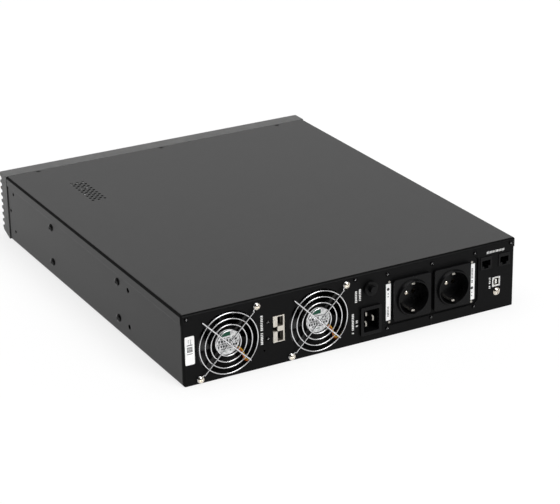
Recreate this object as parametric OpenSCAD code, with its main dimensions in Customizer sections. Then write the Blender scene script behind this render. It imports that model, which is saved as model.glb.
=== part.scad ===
// Uninterruptible power supply for a rack, two units high.
// X runs across the case, +Y points out of the rear panel and +Z is up.
// The case stands on Z = 0, and the origin is under the middle of its box.

/* [Case] */
// Width over the lid's side flanges
case_w = 438; // [430:1:450]
// Height from the floor to the top of the lid
case_h = 86; // [82:1:92]
// Depth of the steel case, from the bezel joint to the rear face
case_d = 505; // [480:1:560]
// Thickness of the tray and lid sheet
sheet_t = 1; // [0.8:0.1:1.2]
// Thickness of the rear panel sheet
panel_t = 1.5; // [1.2:0.1:2]
// Gap between sheets that lie side by side
sheet_gap = 0.1; // [0.05:0.05:0.2]
// Outer radius of the lid's folds
lid_fold_r = 3; // [2.6:0.2:4]
// Height of the lid's side flanges
lid_flange_h = 12; // [8:1:20]
// Setback of the lid's side flanges behind the bezel joint
lid_relief = 1.6; // [1:0.1:2.4]
// Outer radius of the tray's lower folds
tray_fold_r = 2.5; // [1.5:0.5:4]
// Width of the tray's inward top flanges
tray_flange_w = 10; // [6:1:14]
// Distance from the rear face to the end of the tray's top flanges
flange_stop = 22; // [16:1:30]
// Outer radius of the rear panel's folds
panel_fold_r = 2.5; // [2.2:0.1:2.8]
// Depth of the rear panel's folded edges
panel_return_d = 3; // [2.8:0.1:5]

/* [Lid] */
// Columns of vent holes across the lid
vent_columns = 5; // [3:2:7]
// Holes in the longer vent columns
vent_rows = 9; // [5:1:10]
// Distance between vent columns
vent_pitch_x = 4; // [3.6:0.1:5]
// Distance between holes in one column
vent_pitch_y = 8.4; // [7:0.2:9]
// Diameter of a vent hole
vent_d = 3.4; // [2:0.1:3.6]
// Middle of the vent field, from the rear face
vent_back = 402.5; // [390:0.5:410]
// Distance of the flush lid screws from the bezel joint
lid_screw_back = 4; // [3.8:0.2:6]
// Height of the lid's rear tabs
lid_tab_h = 11; // [9:1:14]
// Width of the lid's rear tabs
lid_tab_w = 6.6; // [6:0.2:7]
// Distance of the rear lid screws below the lid's top
lid_rear_drop = 5.8; // [4:0.2:7]
// Distance of the outer rear lid screws from the tray's side
lid_rear_inset = 5.4; // [5.2:0.1:7]

/* [Front] */
// Depth of the bezel, ribs included
bezel_d = 21.5; // [20:0.5:28]
// Shadow gap between bezel and case
bezel_gap = 0.6; // [0.3:0.1:0.9]
// Wall of the bezel
bezel_wall = 2.5; // [2:0.1:3]
// Rise of the bezel's lower edge towards the front
bezel_rise = 7; // [3:0.5:8]
// Number of grooves in the bezel's front
groove_count = 8; // [4:1:8]
// Depth of the grooves
groove_depth = 5.5; // [3:0.5:6]
// Radius of the bottom of a groove
groove_r = 2.5; // [2:0.1:2.8]
// Distance from the top of the bezel to the first groove
groove_drop = 7.8; // [6:0.2:10]
// Width of the display field in the bezel
field_w = 150; // [146:1:180]
// Setback of the display field behind the rib tips
field_set = 1.5; // [1:0.1:2]
// Width of the display window
window_w = 68; // [50:1:72]
// Thickness of the display window
window_t = 1.5; // [1:0.1:2]
// Middle of the display window, across the case
window_x = -28; // [-32:1:-24]
// Diameter of a front key
key_d = 10; // [8:0.5:12]
// Distance between front keys
key_pitch = 18; // [16:0.5:20]
// Middle of the row of keys, across the case
key_x = 44; // [42:1:46]
// Travel of a front key
key_travel = 1.2; // [0.8:0.1:1.4]
// Gap round a moving key or button
key_gap = 0.35; // [0.3:0.05:0.5]
// Thickness of the front steel panel
front_t = 1.2; // [1:0.1:1.5]
// Depth of the front panel's flanges
front_flange_d = 12; // [10:1:16]
// Radius of the bezel's fixing posts
post_r = 3; // [2:0.5:4]
// Height of the lower bezel posts
post_low_z = 20; // [16:1:24]

/* [Side] */
// Distance of the rack ear holes from the bezel joint
ear_back = 20; // [16:1:24]
// Distance of the middle ear hole from the bezel joint
ear_mid_back = 7.5; // [6:0.5:10]
// Height of the lower ear hole
ear_low_z = 16.5; // [14:0.5:18]
// Radius of the ear holes
ear_hole_r = 2.1; // [1.6:0.1:2.4]
// Distance of the rear pair of side screws from the rear face
side_screw_rear = 168.5; // [160:0.5:176]
// Distance of the front pair of side screws from the rear face
side_screw_front = 363.5; // [350:0.5:376]
// Height of the lower side screws
side_screw_z = 18.2; // [15:0.2:20]
// Distance of the open side holes from the rear face
side_hole_rear = 138.6; // [130:0.2:146]
// Radius of the open side holes
side_hole_r = 3; // [2.4:0.1:3.4]
// Radius of the side screws' heads
side_head_r = 4.6; // [4.2:0.1:4.8]

/* [Fans] */
// Depth of a fan
fan_depth = 25; // [24:1:32]
// Diameter of the fixed hub
hub_d = 32; // [28:1:34]
// Diameter of the rotor's cup
cup_d = 34; // [32:1:38]
// Running gap between blades and bore
tip_gap = 0.8; // [0.6:0.1:1.2]
// Number of blades
blade_count = 7; // [5:1:9]
// Radius of the rotor's shaft
shaft_r = 1.5; // [1.2:0.1:2]
// Running gap between shaft and bearing
shaft_gap = 0.06; // [0.03:0.01:0.08]
// Radius of a guard ring's wire
ring_wire_r = 0.65; // [0.5:0.05:1]
// Radius of a guard spoke's wire
spoke_wire_r = 0.8; // [0.6:0.1:1.2]
// Number of guard rings
ring_count = 4; // [2:1:4]
// Radius of a fan lead
lead_r = 0.65; // [0.5:0.05:0.8]

/* [Sockets] */
// Thickness of the socket plate
plate_t = 1.5; // [1.2:0.1:2]
// Margin of the plate outside its screws
plate_margin = 4.4; // [4:0.1:4.8]
// Corner cut of the window beside the screws
opening_cut = 5; // [4.6:0.1:6]
// Reach of a socket's square face in front of the rear panel
socket_proud = 3; // [2:0.5:4]
// Height of the round collar on a socket's face
well_collar_h = 3.4; // [2:0.2:5]
// Depth of a socket behind its plate
socket_depth = 24; // [22:1:30]
// Diameter of a socket's well
well_d = 39.2; // [38:0.2:40]
// Depth of a socket's well
well_depth = 17.5; // [16:0.5:18]
// Diameter of a socket's pin hole
pin_hole_d = 5.6; // [5:0.1:6]
// Distance between a socket's pin holes
pin_pitch = 19; // [18:0.2:20]
// Width of an earth clip
clip_w = 4; // [3:0.5:6]
// Thickness of an earth clip
clip_t = 0.8; // [0.6:0.1:1]

/* [Inlet and breaker] */
// Reach of the inlet's flange in front of the rear panel
inlet_proud = 3; // [2:0.5:4]
// Depth of the inlet's recess
recess_depth = 17; // [15:0.5:20]
// Distance between the two outer blades
blade_pitch = 13; // [12:0.5:14]
// Distance of the earth blade from the outer blades
blade_offset = 8; // [7:0.5:9]
// Diameter of the breaker's collar
collar_d = 17; // [15:0.5:17.5]
// Thickness of the breaker's collar
collar_t = 5; // [3:0.5:6]
// Diameter of the breaker's threaded bush
bush_d = 11; // [10.4:0.2:12]
// Diameter of the breaker's button
reset_d = 8; // [7:0.2:8.4]
// Reach of the breaker's button in front of the rear panel
reset_reach = 10; // [9:0.5:12]
// Travel of the breaker's button when it trips
reset_travel = 3.5; // [2:0.5:4]

/* [Ports] */
// Reach of the battery port in front of the rear panel
port_proud = 0.6; // [0.4:0.1:2]
// Depth of the battery port behind the rear panel
port_depth = 30; // [26:1:40]
// Size of a modular jack's front
jack_size = 16; // [15:0.2:16.4]
// Depth of a modular jack behind the rear panel
jack_depth = 16; // [14:1:20]
// Reach of the jacks and the bus port in front of the rear panel
jack_proud = 0.8; // [0.4:0.2:1.6]
// Width of the bus port
usb_w = 11; // [10.6:0.2:11.6]
// Height of the bus port
usb_h = 12; // [11.6:0.2:12.6]
// Wall of the bus port's shell
usb_wall = 0.5; // [0.4:0.1:0.6]

/* [Fasteners] */
// Play round a screw's shank
screw_gap = 0.15; // [0.1:0.05:0.25]
// Radius of a small screw's shank
small_r = 1.5; // [1.3:0.1:1.6]
// Radius of a small screw's head
small_head_r = 2.7; // [2.5:0.1:2.9]
// Height of a small screw's head
small_head_h = 1.8; // [1.4:0.1:2.2]
// Length of a small screw's shank
small_l = 6; // [5:0.5:8]
// Radius of a guard or side screw's shank
large_r = 2; // [1.8:0.1:2.1]
// Radius of a guard or side screw's head
large_head_r = 4.1; // [3.8:0.1:4.4]
// Height of a guard or side screw's head
large_head_h = 2.6; // [2:0.1:3]
// Length of a guard or side screw's shank
large_l = 8; // [7:0.5:10]
// Length of a side screw's shank
side_l = 4.6; // [4.2:0.1:5]
// Width of a screw's cross slot
slot_w = 0.9; // [0.7:0.1:1.1]
// Depth of a screw's cross slot
slot_d = 1.1; // [0.8:0.1:1.2]

/* [Stickers] */
// Thickness of a sticker
sticker_t = 0.2; // [0.15:0.05:0.3]
// Width of the rating sticker
rating_w = 11.6; // [10:0.2:12.4]
// Corner radius of the rating sticker
rating_r = 1.5; // [1:0.1:2]
// Width of a socket strip
strip_w = 6.4; // [5:0.1:8]

/* [Inside] */
// Height of a battery block, lying along the case
block_d = 94; // [88:1:98]
// Space between battery blocks for their terminals
block_gap = 14; // [13:1:18]
// Distance of the battery blocks from the bezel joint
block_back = 20; // [18:1:30]
// Thickness of a circuit board
board_t = 1.6; // [1:0.1:2]
// Height of the boards above the tray's floor
board_lift = 8; // [6:0.5:10]
// Depth of the main board
main_d = 150; // [140:1:160]
// Distance of the main board in front of the fans
main_front = 14; // [12:1:20]
// Depth of the filter board
filter_d = 110; // [100:1:120]
// Width of the charger board
charger_w = 96; // [90:1:100]
// Depth of the charger board
charger_d = 170; // [160:1:180]
// Width of a heat sink
sink_w = 70; // [66:2:74]
// Fins on a heat sink
fin_count = 9; // [5:1:11]
// Distance of the filter board in front of the main board
filter_set = 10; // [6:1:14]
// Diameter of a bus capacitor
cap_d = 25; // [22:1:26]
// Radius of a board stand-off
standoff_r = 3; // [2.5:0.1:3.5]

/* [Hidden] */
$fn = 48;

// Small overlap that joins solids of one piece, and the reach of a cut past a face
eps = 0.01;
past = 1;

// Frame of the case
total_d = bezel_d + bezel_gap + case_d + reset_reach;
front_y = -total_d / 2;
rear_y = total_d / 2 - reset_reach;
joint_y = rear_y - case_d;
panel_y = rear_y - panel_t;
tray_w = case_w - 2 * (sheet_t + sheet_gap);
tray_top = case_h - sheet_t - sheet_gap;
tray_top_r = lid_fold_r - sheet_t - sheet_gap;
tray_end_y = rear_y - panel_return_d - sheet_gap;
inner_w = tray_w - 2 * sheet_t;
floor_z = sheet_t + sheet_gap;
lid_rear_xs = [-(tray_w / 2 - lid_rear_inset), 0, tray_w / 2 - lid_rear_inset];
lid_rear_z = case_h - lid_rear_drop;
lid_tab_y = panel_y - sheet_gap;
// The tray's top flanges stop short of the lid's rear tabs
tray_flange_end = rear_y - flange_stop;

// Heights, as shares of the case's height; the fans also keep within their share of its width
fan_size = min(case_h * 0.93023, case_w * 0.1827);
plate_z = case_h * 0.5105;
plate_screw_z = case_h * 0.7849;
opening_h = case_h * 0.7209;
socket_z = case_h * 0.5;
socket_h = opening_h * 0.8226;
strip_z = case_h * 0.4837;
strip_h = opening_h * 0.7339;
inlet_z = case_h * 0.3081;
inlet_h = case_h * 0.407;
breaker_z = case_h * 0.7733;
port_z = case_h * 0.5023;
port_h = case_h * 0.3721;
jack_z = case_h * 0.72;
usb_z = case_h * 0.414;
earth_z = case_h * 0.263;
rating_z = case_h * 0.493;
rating_h = case_h * 0.3953;
field_z = case_h * 0.5233;
field_h = case_h * 0.6512;
window_h = field_h * 0.68;
post_high_z = case_h * 0.7674;
ear_pitch = case_h * 0.593;
side_screw_pitch = case_h * 0.5302;

// Places across the case, as shares of its width
lid_screw_x = case_w * 0.4007;
vent_x = case_w * 0.3413;
post_x = case_w * 0.4338;
lid_screw_xs = [-lid_screw_x, 0, lid_screw_x];
fan_1_x = case_w * 0.3706;
fan_2_x = case_w * 0.1089;
port_x = case_w * 0.22603;
breaker_x = case_w * -0.0434;
inlet_x = case_w * -0.045;
plate_x = case_w * -0.2342;
plate_screw_x = case_w * 0.1363;
opening_w = case_w * 0.295;
inlet_w = case_w * 0.0623;
port_w = case_w * 0.03242;
socket_pitch = case_w * 0.1256;
socket_w = socket_pitch * 0.909;
jack_1_x = case_w * -0.4062;
jack_pitch = case_w * 0.0583;
usb_x = case_w * -0.4395;
earth_x = case_w * -0.442;
rating_x = case_w * 0.4781;

// Frame of the front
bezel_back_y = joint_y - bezel_gap;
pocket_y = front_y + groove_depth + bezel_wall;
field_y = front_y + field_set;
bezel_foot = 6.6;
groove_pitch = (case_h - groove_drop - bezel_foot) / groove_count;
rib_tip_r = groove_pitch / 2 - groove_r;
pocket_low_z = bezel_rise + 1;
window_rim = 2;
field_edge = 5;
pocket_high_z = case_h - bezel_wall;
key_head_t = 1.2;
key_foot = 1;
key_proud = field_set * 0.8;
key_xs = [key_x - key_pitch, key_x, key_x + key_pitch];
switch_h = 2.6;
key_head_y = pocket_y + key_gap;
key_foot_y = key_head_y + key_head_t + key_foot;
display_y = key_foot_y + key_travel + key_gap + switch_h;
boss_r = 2.6;
boss_x = field_w / 2 - field_edge;
boss_z = field_h / 2 - field_edge;
post_reach = 4;
air_x = 100;
air_w = 70;
air_h = 2.4;

// Frame of the fans
fan_z = floor_z + fan_size / 2;
fan_pitch = fan_size * 0.89375;
fan_bore_d = fan_size * 0.95;
fan_bore_r = fan_bore_d / 2;
ring_r = fan_bore_r * 0.953;
ring_pitch = ring_r * 0.195;
spoke_long_r = ring_r * 1.24;
spoke_short_r = ring_r * 1.02;
fan_hole_r = large_r + screw_gap;
fan_corner_r = 4;
hub_set = 0.5;
hub_t = 4;
strut_set = 3;
strut_t = 3;
strut_w = 3.2;
tube_r = 4;
tube_l = 12;
cup_set = 7.5;
cup_l = 16;
cup_wall = 2;
cup_roof = 2;
blade_set = 8.5;
blade_l = 14;
blade_t = 1.6;
blade_tilt = 38;
stator_gap = 0.6;
guard_ring_y = 3 * ring_wire_r;
guard_spoke_y = guard_ring_y + (ring_wire_r + spoke_wire_r) * 0.8;
eyelet_wire_r = 0.9;
eyelet_r = large_r + 2 * screw_gap + eyelet_wire_r;
eyelet_reach = fan_pitch / 2 * sqrt(2);
guard_head_r = 3.8;
leg_gap = 2;
eyelet_leg_r = eyelet_reach - guard_head_r - eyelet_wire_r - leg_gap;
notch_w = 7;
notch_z = fan_size * 0.3625;
lead_gap = 0.15;
lead_bend = 2.2;

// Frame of the sockets
plate_y = panel_y - plate_t;
plate_w = 2 * (plate_screw_x + plate_margin);
plate_h = plate_screw_z + 2 * plate_margin;
socket_xs = [plate_x + socket_pitch / 2, plate_x - socket_pitch / 2];
socket_rim_y = rear_y + socket_proud + well_collar_h;
socket_body_w = socket_w * 0.96;
socket_body_h = socket_h * 0.96;
socket_fit = 0.2;
well_floor_y = socket_rim_y - well_depth;
well_rim_w = 1.1;
well_foot_w = 2.4;
floor_t = 3;
contact_r = 3.9;
contact_bore_r = 2.5;
contact_l = 9;
clip_slot_w = clip_w * 1.18;
clip_fold_r = 1.5;
clip_leg = 5;
clip_slot_d = 0.5;
clip_stand = 1.2;
clip_set = 2;
strip_xs = [plate_x + opening_w * 0.446, plate_x - opening_w * 0.446];
rivet_xs = [plate_x + opening_w * 0.437, plate_x - opening_w * 0.437];
rivet_zs = [strip_z - strip_h * 0.55, strip_z + strip_h * 0.55];
rivet_r = 1;
rivet_head_r = 1.4;
rivet_head_h = 0.6;
plate_screw_xs = [plate_x - plate_screw_x, plate_x, plate_x + plate_screw_x];
plate_screw_zs = [plate_z - plate_screw_z / 2, plate_z + plate_screw_z / 2];

// Frame of the inlet, breaker and ports
inlet_body_w = inlet_w * 0.906;
inlet_body_h = inlet_h * 0.886;
recess_w = inlet_w * 0.744;
recess_h = inlet_h * 0.7714;
inlet_body_depth = 24;
cut_fit = 0.2;
blade_w = 8;
blade_thick = 2;
blade_tip = 5;
blade_nose = 2;
earth_lead = 2;
blade_tail = 8;
breaker_w = 15;
breaker_h = 26;
breaker_depth = 30;
port_wall = 1.8;
port_rib = 6;
port_rim = 1.2;
port_fit = 0.8;
port_split = port_w * 0.373;
port_cavity_h = (port_h - port_rib) / 2 - port_rim;
port_cavity_z = (port_rib + port_cavity_h) / 2;
port_cavity_w = port_w - port_split - port_wall;
port_cavity_depth = 18;
port_flange_t = 3;
contact_t = 1.6;
contact_set = 4;
port_screw_x = port_x + port_w * 0.97;
port_screw_zs = [port_z - port_h * 0.288, port_z + port_h * 0.337];
port_ear_x = port_screw_x + port_w * 0.28;
port_ear_h = port_h * 0.9;
spare_hole = [port_x + port_w * 1.3, port_z - port_h * 0.72];
spare_hole_r = 1.2;
jack_xs = [jack_1_x, jack_1_x - jack_pitch];
jack_open_w = 11.7;
jack_open_h = 7.2;
jack_latch_w = 6;
jack_latch_h = 3;
jack_open_depth = 13;
jack_contact_w = 0.5;
jack_contact_pitch = 1.02;
jack_contact_h = 1;
jack_contact_set = 3;
usb_set = 0.2;
usb_corner = 1.6;
usb_open_w = 7.6;
usb_open_h = 8.4;
usb_tongue_w = 2.8;
usb_tongue_h = 5.4;
usb_open_depth = 10;
washer_r = 4.6;
washer_t = 0.8;

// Frame of the inside
board_z = floor_z + board_lift;
board_top = board_z + board_t;
wall_clear = 6;
block_play = 1;
cable_way = inner_w * 0.05256;
block_l = (inner_w - charger_w - cable_way - 2 * wall_clear - block_play) / 2;
block_h = case_h * 0.756;
sink_h = case_h * 0.6744;
cap_h = case_h * 0.523;
main_w = inner_w * 0.544;
filter_w = inner_w * 0.346;
main_y1 = panel_y - fan_depth - main_front;
main_x1 = inner_w / 2 - wall_clear;
filter_x1 = main_x1 - main_w - wall_clear;
filter_y1 = main_y1 - filter_set;
charger_x1 = inner_w / 2 - wall_clear;
charger_y0 = joint_y + block_back;
block_x0 = wall_clear - inner_w / 2;
block_y0 = joint_y + block_back;
strap_w = 20;
strap_t = 1.5;
sink_base = 4;
fin_t = 1.5;
sink_xs = [fan_1_x, fan_2_x + wall_clear];
interface_y = panel_y - jack_depth;

// Box between two corners
module block(low, high) translate(low) cube(high - low);

// Extrudes a drawing in X and Z from y0 to y1
module along_y(y0, y1) translate([0, y1, 0]) rotate([90, 0, 0]) linear_extrude(y1 - y0) children();

// Extrudes a drawing in Y and Z from x0 to x1
module along_x(x0, x1) translate([x0, 0, 0]) rotate([90, 0, 90]) linear_extrude(x1 - x0) children();

// Turns a piece drawn along +Z so that it points out of the rear panel, or into the case
module outward(x, y, z) translate([x, y, z]) rotate([-90, 0, 0]) children();
module inward(x, y, z) translate([x, y, z]) rotate([90, 0, 0]) children();

// Section with lower and upper corner radii
module section(w, z0, z1, r_low, r_top) {
    translate([-w / 2, z0 + r_low]) square([w, z1 - z0 - r_low - r_top]);
    translate([-w / 2 + r_top, z0 + r_low]) square([w - 2 * r_top, z1 - z0 - r_low]);
    translate([-w / 2 + r_low, z0]) square([w - 2 * r_low, z1 - z0 - r_top]);
    for (s = [-1, 1]) {
        translate([s * (w / 2 - r_top), z1 - r_top]) circle(r = r_top);
        translate([s * (w / 2 - r_low), z0 + r_low]) circle(r = r_low);
    }
}

// Rectangle with round corners, about its middle
module round_rect(w, h, r) {
    square([w - 2 * r, h], center = true);
    square([w, h - 2 * r], center = true);
    for (sx = [-1, 1], sy = [-1, 1]) translate([sx * (w / 2 - r), sy * (h / 2 - r)]) circle(r = r);
}

// Pan head screw, its head standing on Z = 0 and its shank below
module pan_screw(head_r, head_h, shank_r, shank_l) {
    rise = head_h * 0.6;
    dome_r = (head_r * head_r + rise * rise) / (2 * rise);
    difference() {
        intersection() {
            cylinder(r = head_r, h = head_h);
            translate([0, 0, head_h - dome_r]) sphere(r = dome_r);
        }
        for (a = [0, 90]) rotate(a)
            translate([-head_r * 0.6, -slot_w / 2, head_h - slot_d])
                cube([head_r * 1.2, slot_w, slot_d + past]);
    }
    translate([0, 0, -shank_l]) cylinder(r = shank_r, h = shank_l + eps);
}

module small_screw() pan_screw(small_head_r, small_head_h, small_r, small_l);

module guard_screw() pan_screw(guard_head_r, large_head_h, large_r, large_l);

// Round hole along Y through everything between two depths
module bore_y(x, z, r, y0, y1) outward(x, y0, z) cylinder(r = r, h = y1 - y0);

// Case

module side_holes(r, back, zs)
    for (z = zs) translate([-case_w, rear_y - back, z])
        rotate([0, 90, 0]) cylinder(r = r, h = 2 * case_w);

module tray_section(with_flanges) {
    difference() {
        section(tray_w, 0, tray_top, tray_fold_r, tray_top_r);
        section(inner_w, sheet_t, tray_top - sheet_t, tray_fold_r - sheet_t, tray_top_r - sheet_t);
        gap_w = with_flanges ? tray_w - 2 * tray_flange_w : case_w;
        gap_z = with_flanges ? tray_top - 2 * sheet_t : case_h - lid_fold_r;
        translate([-gap_w / 2, gap_z]) square([gap_w, case_h]);
    }
}

module bottom_tray() color("#50504f") difference() {
    union() {
        along_y(joint_y, tray_flange_end) tray_section(true);
        along_y(tray_flange_end - eps, tray_end_y) tray_section(false);
        block([-inner_w / 2 + panel_fold_r, tray_end_y - eps, 0],
              [inner_w / 2 - panel_fold_r, panel_y - sheet_gap, sheet_t]);
    }
    side_holes(ear_hole_r, case_d - ear_back, [ear_low_z, ear_low_z + ear_pitch]);
    side_holes(ear_hole_r, case_d - ear_mid_back, [ear_low_z + ear_pitch / 2]);
    side_holes(side_hole_r, side_hole_rear, [side_screw_z, side_screw_z + side_screw_pitch]);
    for (back = [side_screw_rear, side_screw_front])
        side_holes(large_r + screw_gap, back, [side_screw_z, side_screw_z + side_screw_pitch]);
}

// Plan and side view of the rear panel's box, with its rounded folds
module panel_plan() translate([0, rear_y - panel_return_d])
    section(tray_w, 0, panel_return_d, sheet_gap, panel_fold_r);

module panel_side() {
    translate([rear_y - panel_return_d, 0]) square([panel_return_d, tray_top - panel_fold_r]);
    translate([rear_y - panel_return_d, 0]) square([panel_return_d - panel_fold_r, tray_top]);
    translate([rear_y - panel_fold_r, tray_top - panel_fold_r]) circle(r = panel_fold_r);
}

module opening_outline() {
    x = opening_w / 2;
    z = opening_h / 2;
    c = opening_cut;
    polygon([
        [c - x, -z], [x - c, -z], [x, c - z], [x, z - c],
        [x - c, z], [c - x, z], [-x, z - c], [-x, c - z]
    ]);
}

module rear_panel() color("#1c1c1d") difference() {
    intersection() {
        linear_extrude(case_h) panel_plan();
        along_y(rear_y - panel_return_d - past, rear_y + past)
            section(tray_w, 0, tray_top, tray_fold_r, tray_top_r);
        along_x(-case_w, case_w) panel_side();
        block([-case_w, rear_y - panel_return_d, 0], [case_w, rear_y + past, case_h]);
    }
    // Hollow behind the face, open at the bottom, and the notches for the lid's tabs
    back_y = rear_y - panel_return_d - past;
    block([panel_t - tray_w / 2, back_y, -past], [tray_w / 2 - panel_t, panel_y, tray_top - panel_t]);
    for (x = lid_rear_xs)
        block([x - lid_tab_w / 2 - sheet_gap, back_y, tray_top - panel_t - past],
              [x + lid_tab_w / 2 + sheet_gap, panel_y, case_h]);
    cut_0 = panel_y - past;
    cut_1 = rear_y + past;
    for (x = [fan_1_x, fan_2_x]) {
        bore_y(x, fan_z, fan_bore_r, cut_0, cut_1);
        for (s = [-1, 1])
            bore_y(x + s * fan_pitch / 2, fan_z - s * fan_pitch / 2, large_r + screw_gap, cut_0, cut_1);
    }
    for (x = lid_rear_xs) bore_y(x, lid_rear_z, small_r + screw_gap, cut_0, cut_1);
    for (x = plate_screw_xs, z = plate_screw_zs) bore_y(x, z, small_r + screw_gap, cut_0, cut_1);
    for (z = port_screw_zs) bore_y(port_screw_x, z, small_r + screw_gap, cut_0, cut_1);
    bore_y(spare_hole[0], spare_hole[1], spare_hole_r, cut_0, cut_1);
    bore_y(breaker_x, breaker_z, bush_d / 2 + screw_gap, cut_0, cut_1);
    bore_y(earth_x, earth_z, large_r + screw_gap, cut_0, cut_1);
    along_y(cut_0, cut_1) {
        translate([plate_x, plate_z]) opening_outline();
        translate([inlet_x, inlet_z])
            square([inlet_body_w + cut_fit, inlet_body_h + cut_fit], center = true);
        translate([port_x, port_z]) square([port_w + port_fit, port_h + port_fit], center = true);
        for (x = jack_xs) translate([x, jack_z]) square(jack_size + cut_fit, center = true);
        translate([usb_x, usb_z]) square([usb_w + cut_fit, usb_h + cut_fit], center = true);
    }
}

module lid_section() difference() {
    section(case_w, case_h - lid_flange_h - lid_fold_r, case_h, lid_fold_r, lid_fold_r);
    section(case_w - 2 * sheet_t, case_h - 2 * lid_flange_h, case_h - sheet_t,
            lid_fold_r, lid_fold_r - sheet_t);
    translate([-case_w, case_h - lid_flange_h - 2 * case_h]) square([2 * case_w, 2 * case_h]);
}

module top_cover() color("#5a5a59") difference() {
    union() {
        along_y(joint_y, lid_tab_y) lid_section();
        for (x = lid_rear_xs)
            block([x - lid_tab_w / 2, lid_tab_y - sheet_t, case_h - lid_tab_h],
                  [x + lid_tab_w / 2, lid_tab_y, case_h - sheet_t + eps]);
    }
    for (column = [0 : vent_columns - 1]) {
        rows = column % 2 == 0 ? vent_rows : vent_rows - 1;
        for (row = [0 : rows - 1])
            translate([
                vent_x + (column - (vent_columns - 1) / 2) * vent_pitch_x,
                rear_y - vent_back + (row - (rows - 1) / 2) * vent_pitch_y,
                case_h - sheet_t - past
            ]) cylinder(d = vent_d, h = sheet_t + 2 * past);
    }
    block([-case_w, joint_y - past, 0], [case_w, joint_y + lid_relief, case_h - lid_fold_r]);
    for (x = lid_screw_xs)
        translate([x, joint_y + lid_screw_back, case_h - sheet_t - past])
            cylinder(r = small_head_r + screw_gap, h = sheet_t + 2 * past);
    for (x = lid_rear_xs)
        bore_y(x, lid_rear_z, small_r + screw_gap, lid_tab_y - sheet_t - past, lid_tab_y + past);
}

module wall_plates() color("#8d8f92")
for (side = [-1, 1], back = [side_screw_rear, side_screw_front]) difference() {
    width = 16;
    thick = 2.5;
    reach = 8;
    wall_x = inner_w / 2;
    z0 = side_screw_z - reach;
    z1 = side_screw_z + side_screw_pitch + reach;
    block([side > 0 ? wall_x - thick : -wall_x, rear_y - back - width / 2, z0],
          [side > 0 ? wall_x : thick - wall_x, rear_y - back + width / 2, z1]);
    side_holes(large_r + screw_gap, back, [side_screw_z, side_screw_z + side_screw_pitch]);
}

module front_panel() color("#8d8f92") difference() {
    half = inner_w / 2 - sheet_gap;
    flange_half = tray_w / 2 - tray_flange_w - past;
    top = case_h - sheet_t - sheet_gap;
    union() {
        block([-half, joint_y, tray_fold_r],
              [half, joint_y + front_t, tray_top - tray_top_r - sheet_t]);
        block([-flange_half, joint_y, top - front_t], [flange_half, joint_y + front_flange_d, top]);
        block([-flange_half, joint_y, floor_z],
              [flange_half, joint_y + front_flange_d, floor_z + front_t]);
        block([-flange_half, joint_y, floor_z], [flange_half, joint_y + front_t, top]);
    }
    for (x = lid_screw_xs)
        translate([x, joint_y + lid_screw_back, top - front_t - past])
            cylinder(r = small_r + screw_gap, h = front_t + 2 * past);
    for (s = [-1, 1], z = [post_low_z, post_high_z])
        bore_y(s * post_x, z, post_r + screw_gap, joint_y - past, joint_y + front_t + past);
    // Cable slot behind the display, and air slots on both sides
    slot_half_w = 30;
    slot_half_h = 6;
    block([-slot_half_w, joint_y - past, field_z - slot_half_h],
          [slot_half_w, joint_y + front_t + past, field_z + slot_half_h]);
    for (s = [-1, 1], row = [0 : groove_count - 3]) {
        z = case_h - groove_drop - (row + 1) * groove_pitch;
        x0 = s > 0 ? air_x : -air_x - air_w;
        block([x0, joint_y - past, z - air_h], [x0 + air_w, joint_y + front_t + past, z + air_h]);
    }
}

module bezel_section() {
    difference() {
        polygon([
            [bezel_back_y, 0], [front_y + rib_tip_r, bezel_rise],
            [front_y + rib_tip_r, case_h], [bezel_back_y, case_h]
        ]);
        for (i = [0 : groove_count - 1]) translate([0, case_h - groove_drop - i * groove_pitch]) {
            translate([front_y + groove_depth - groove_r, 0]) circle(r = groove_r);
            translate([front_y - past, -groove_r]) square([groove_depth - groove_r + past, 2 * groove_r]);
        }
    }
    for (i = [1 : groove_count])
        translate([front_y + rib_tip_r, case_h - groove_drop - (i - 0.5) * groove_pitch])
            circle(r = rib_tip_r);
    // Square upper lip
    lip_h = groove_drop - groove_r;
    translate([front_y, case_h - lip_h]) square([rib_tip_r + past, lip_h]);
}

module front_bezel() color("#777776") difference() {
    half = case_w / 2;
    union() {
        difference() {
            along_x(-half, half) bezel_section();
            block([bezel_wall - half, pocket_y, pocket_low_z],
                  [half - bezel_wall, joint_y, pocket_high_z]);
        }
        block([-field_w / 2, field_y, field_z - field_h / 2],
              [field_w / 2, pocket_y + eps, field_z + field_h / 2]);
        for (s = [-1, 1], z = [post_low_z, post_high_z])
            bore_y(s * post_x, z, post_r, pocket_y - eps, joint_y + post_reach);
        for (sx = [-1, 1], sz = [-1, 1])
            bore_y(sx * boss_x, field_z + sz * boss_z, boss_r, pocket_y - eps, display_y);
    }
    // The field's face lies behind the rib tips
    block([-field_w / 2, front_y - past, field_z - field_h / 2],
          [field_w / 2, field_y, field_z + field_h / 2]);
    block([window_x - window_w / 2, field_y - past, field_z - window_h / 2],
          [window_x + window_w / 2, pocket_y + past, field_z + window_h / 2]);
    rebate = window_rim + sheet_gap;
    block([window_x - window_w / 2 - rebate, field_y - past, field_z - window_h / 2 - rebate],
          [window_x + window_w / 2 + rebate, field_y + window_t, field_z + window_h / 2 + rebate]);
    for (x = key_xs) bore_y(x, field_z, key_d / 2 + key_gap, field_y - past, pocket_y + past);
    // Air slots along the bottoms of the grooves
    for (s = [-1, 1], i = [1 : groove_count - 2]) {
        z = case_h - groove_drop - i * groove_pitch;
        x0 = s > 0 ? air_x : -air_x - air_w;
        block([x0, front_y, z - air_h / 2], [x0 + air_w, pocket_y + past, z + air_h / 2]);
    }
}

// Display and keys

module display_window() color("#101418") {
    rebate = window_rim;
    block([window_x - window_w / 2 - rebate, field_y, field_z - window_h / 2 - rebate],
          [window_x + window_w / 2 + rebate, field_y + window_t, field_z + window_h / 2 + rebate]);
}

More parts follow.
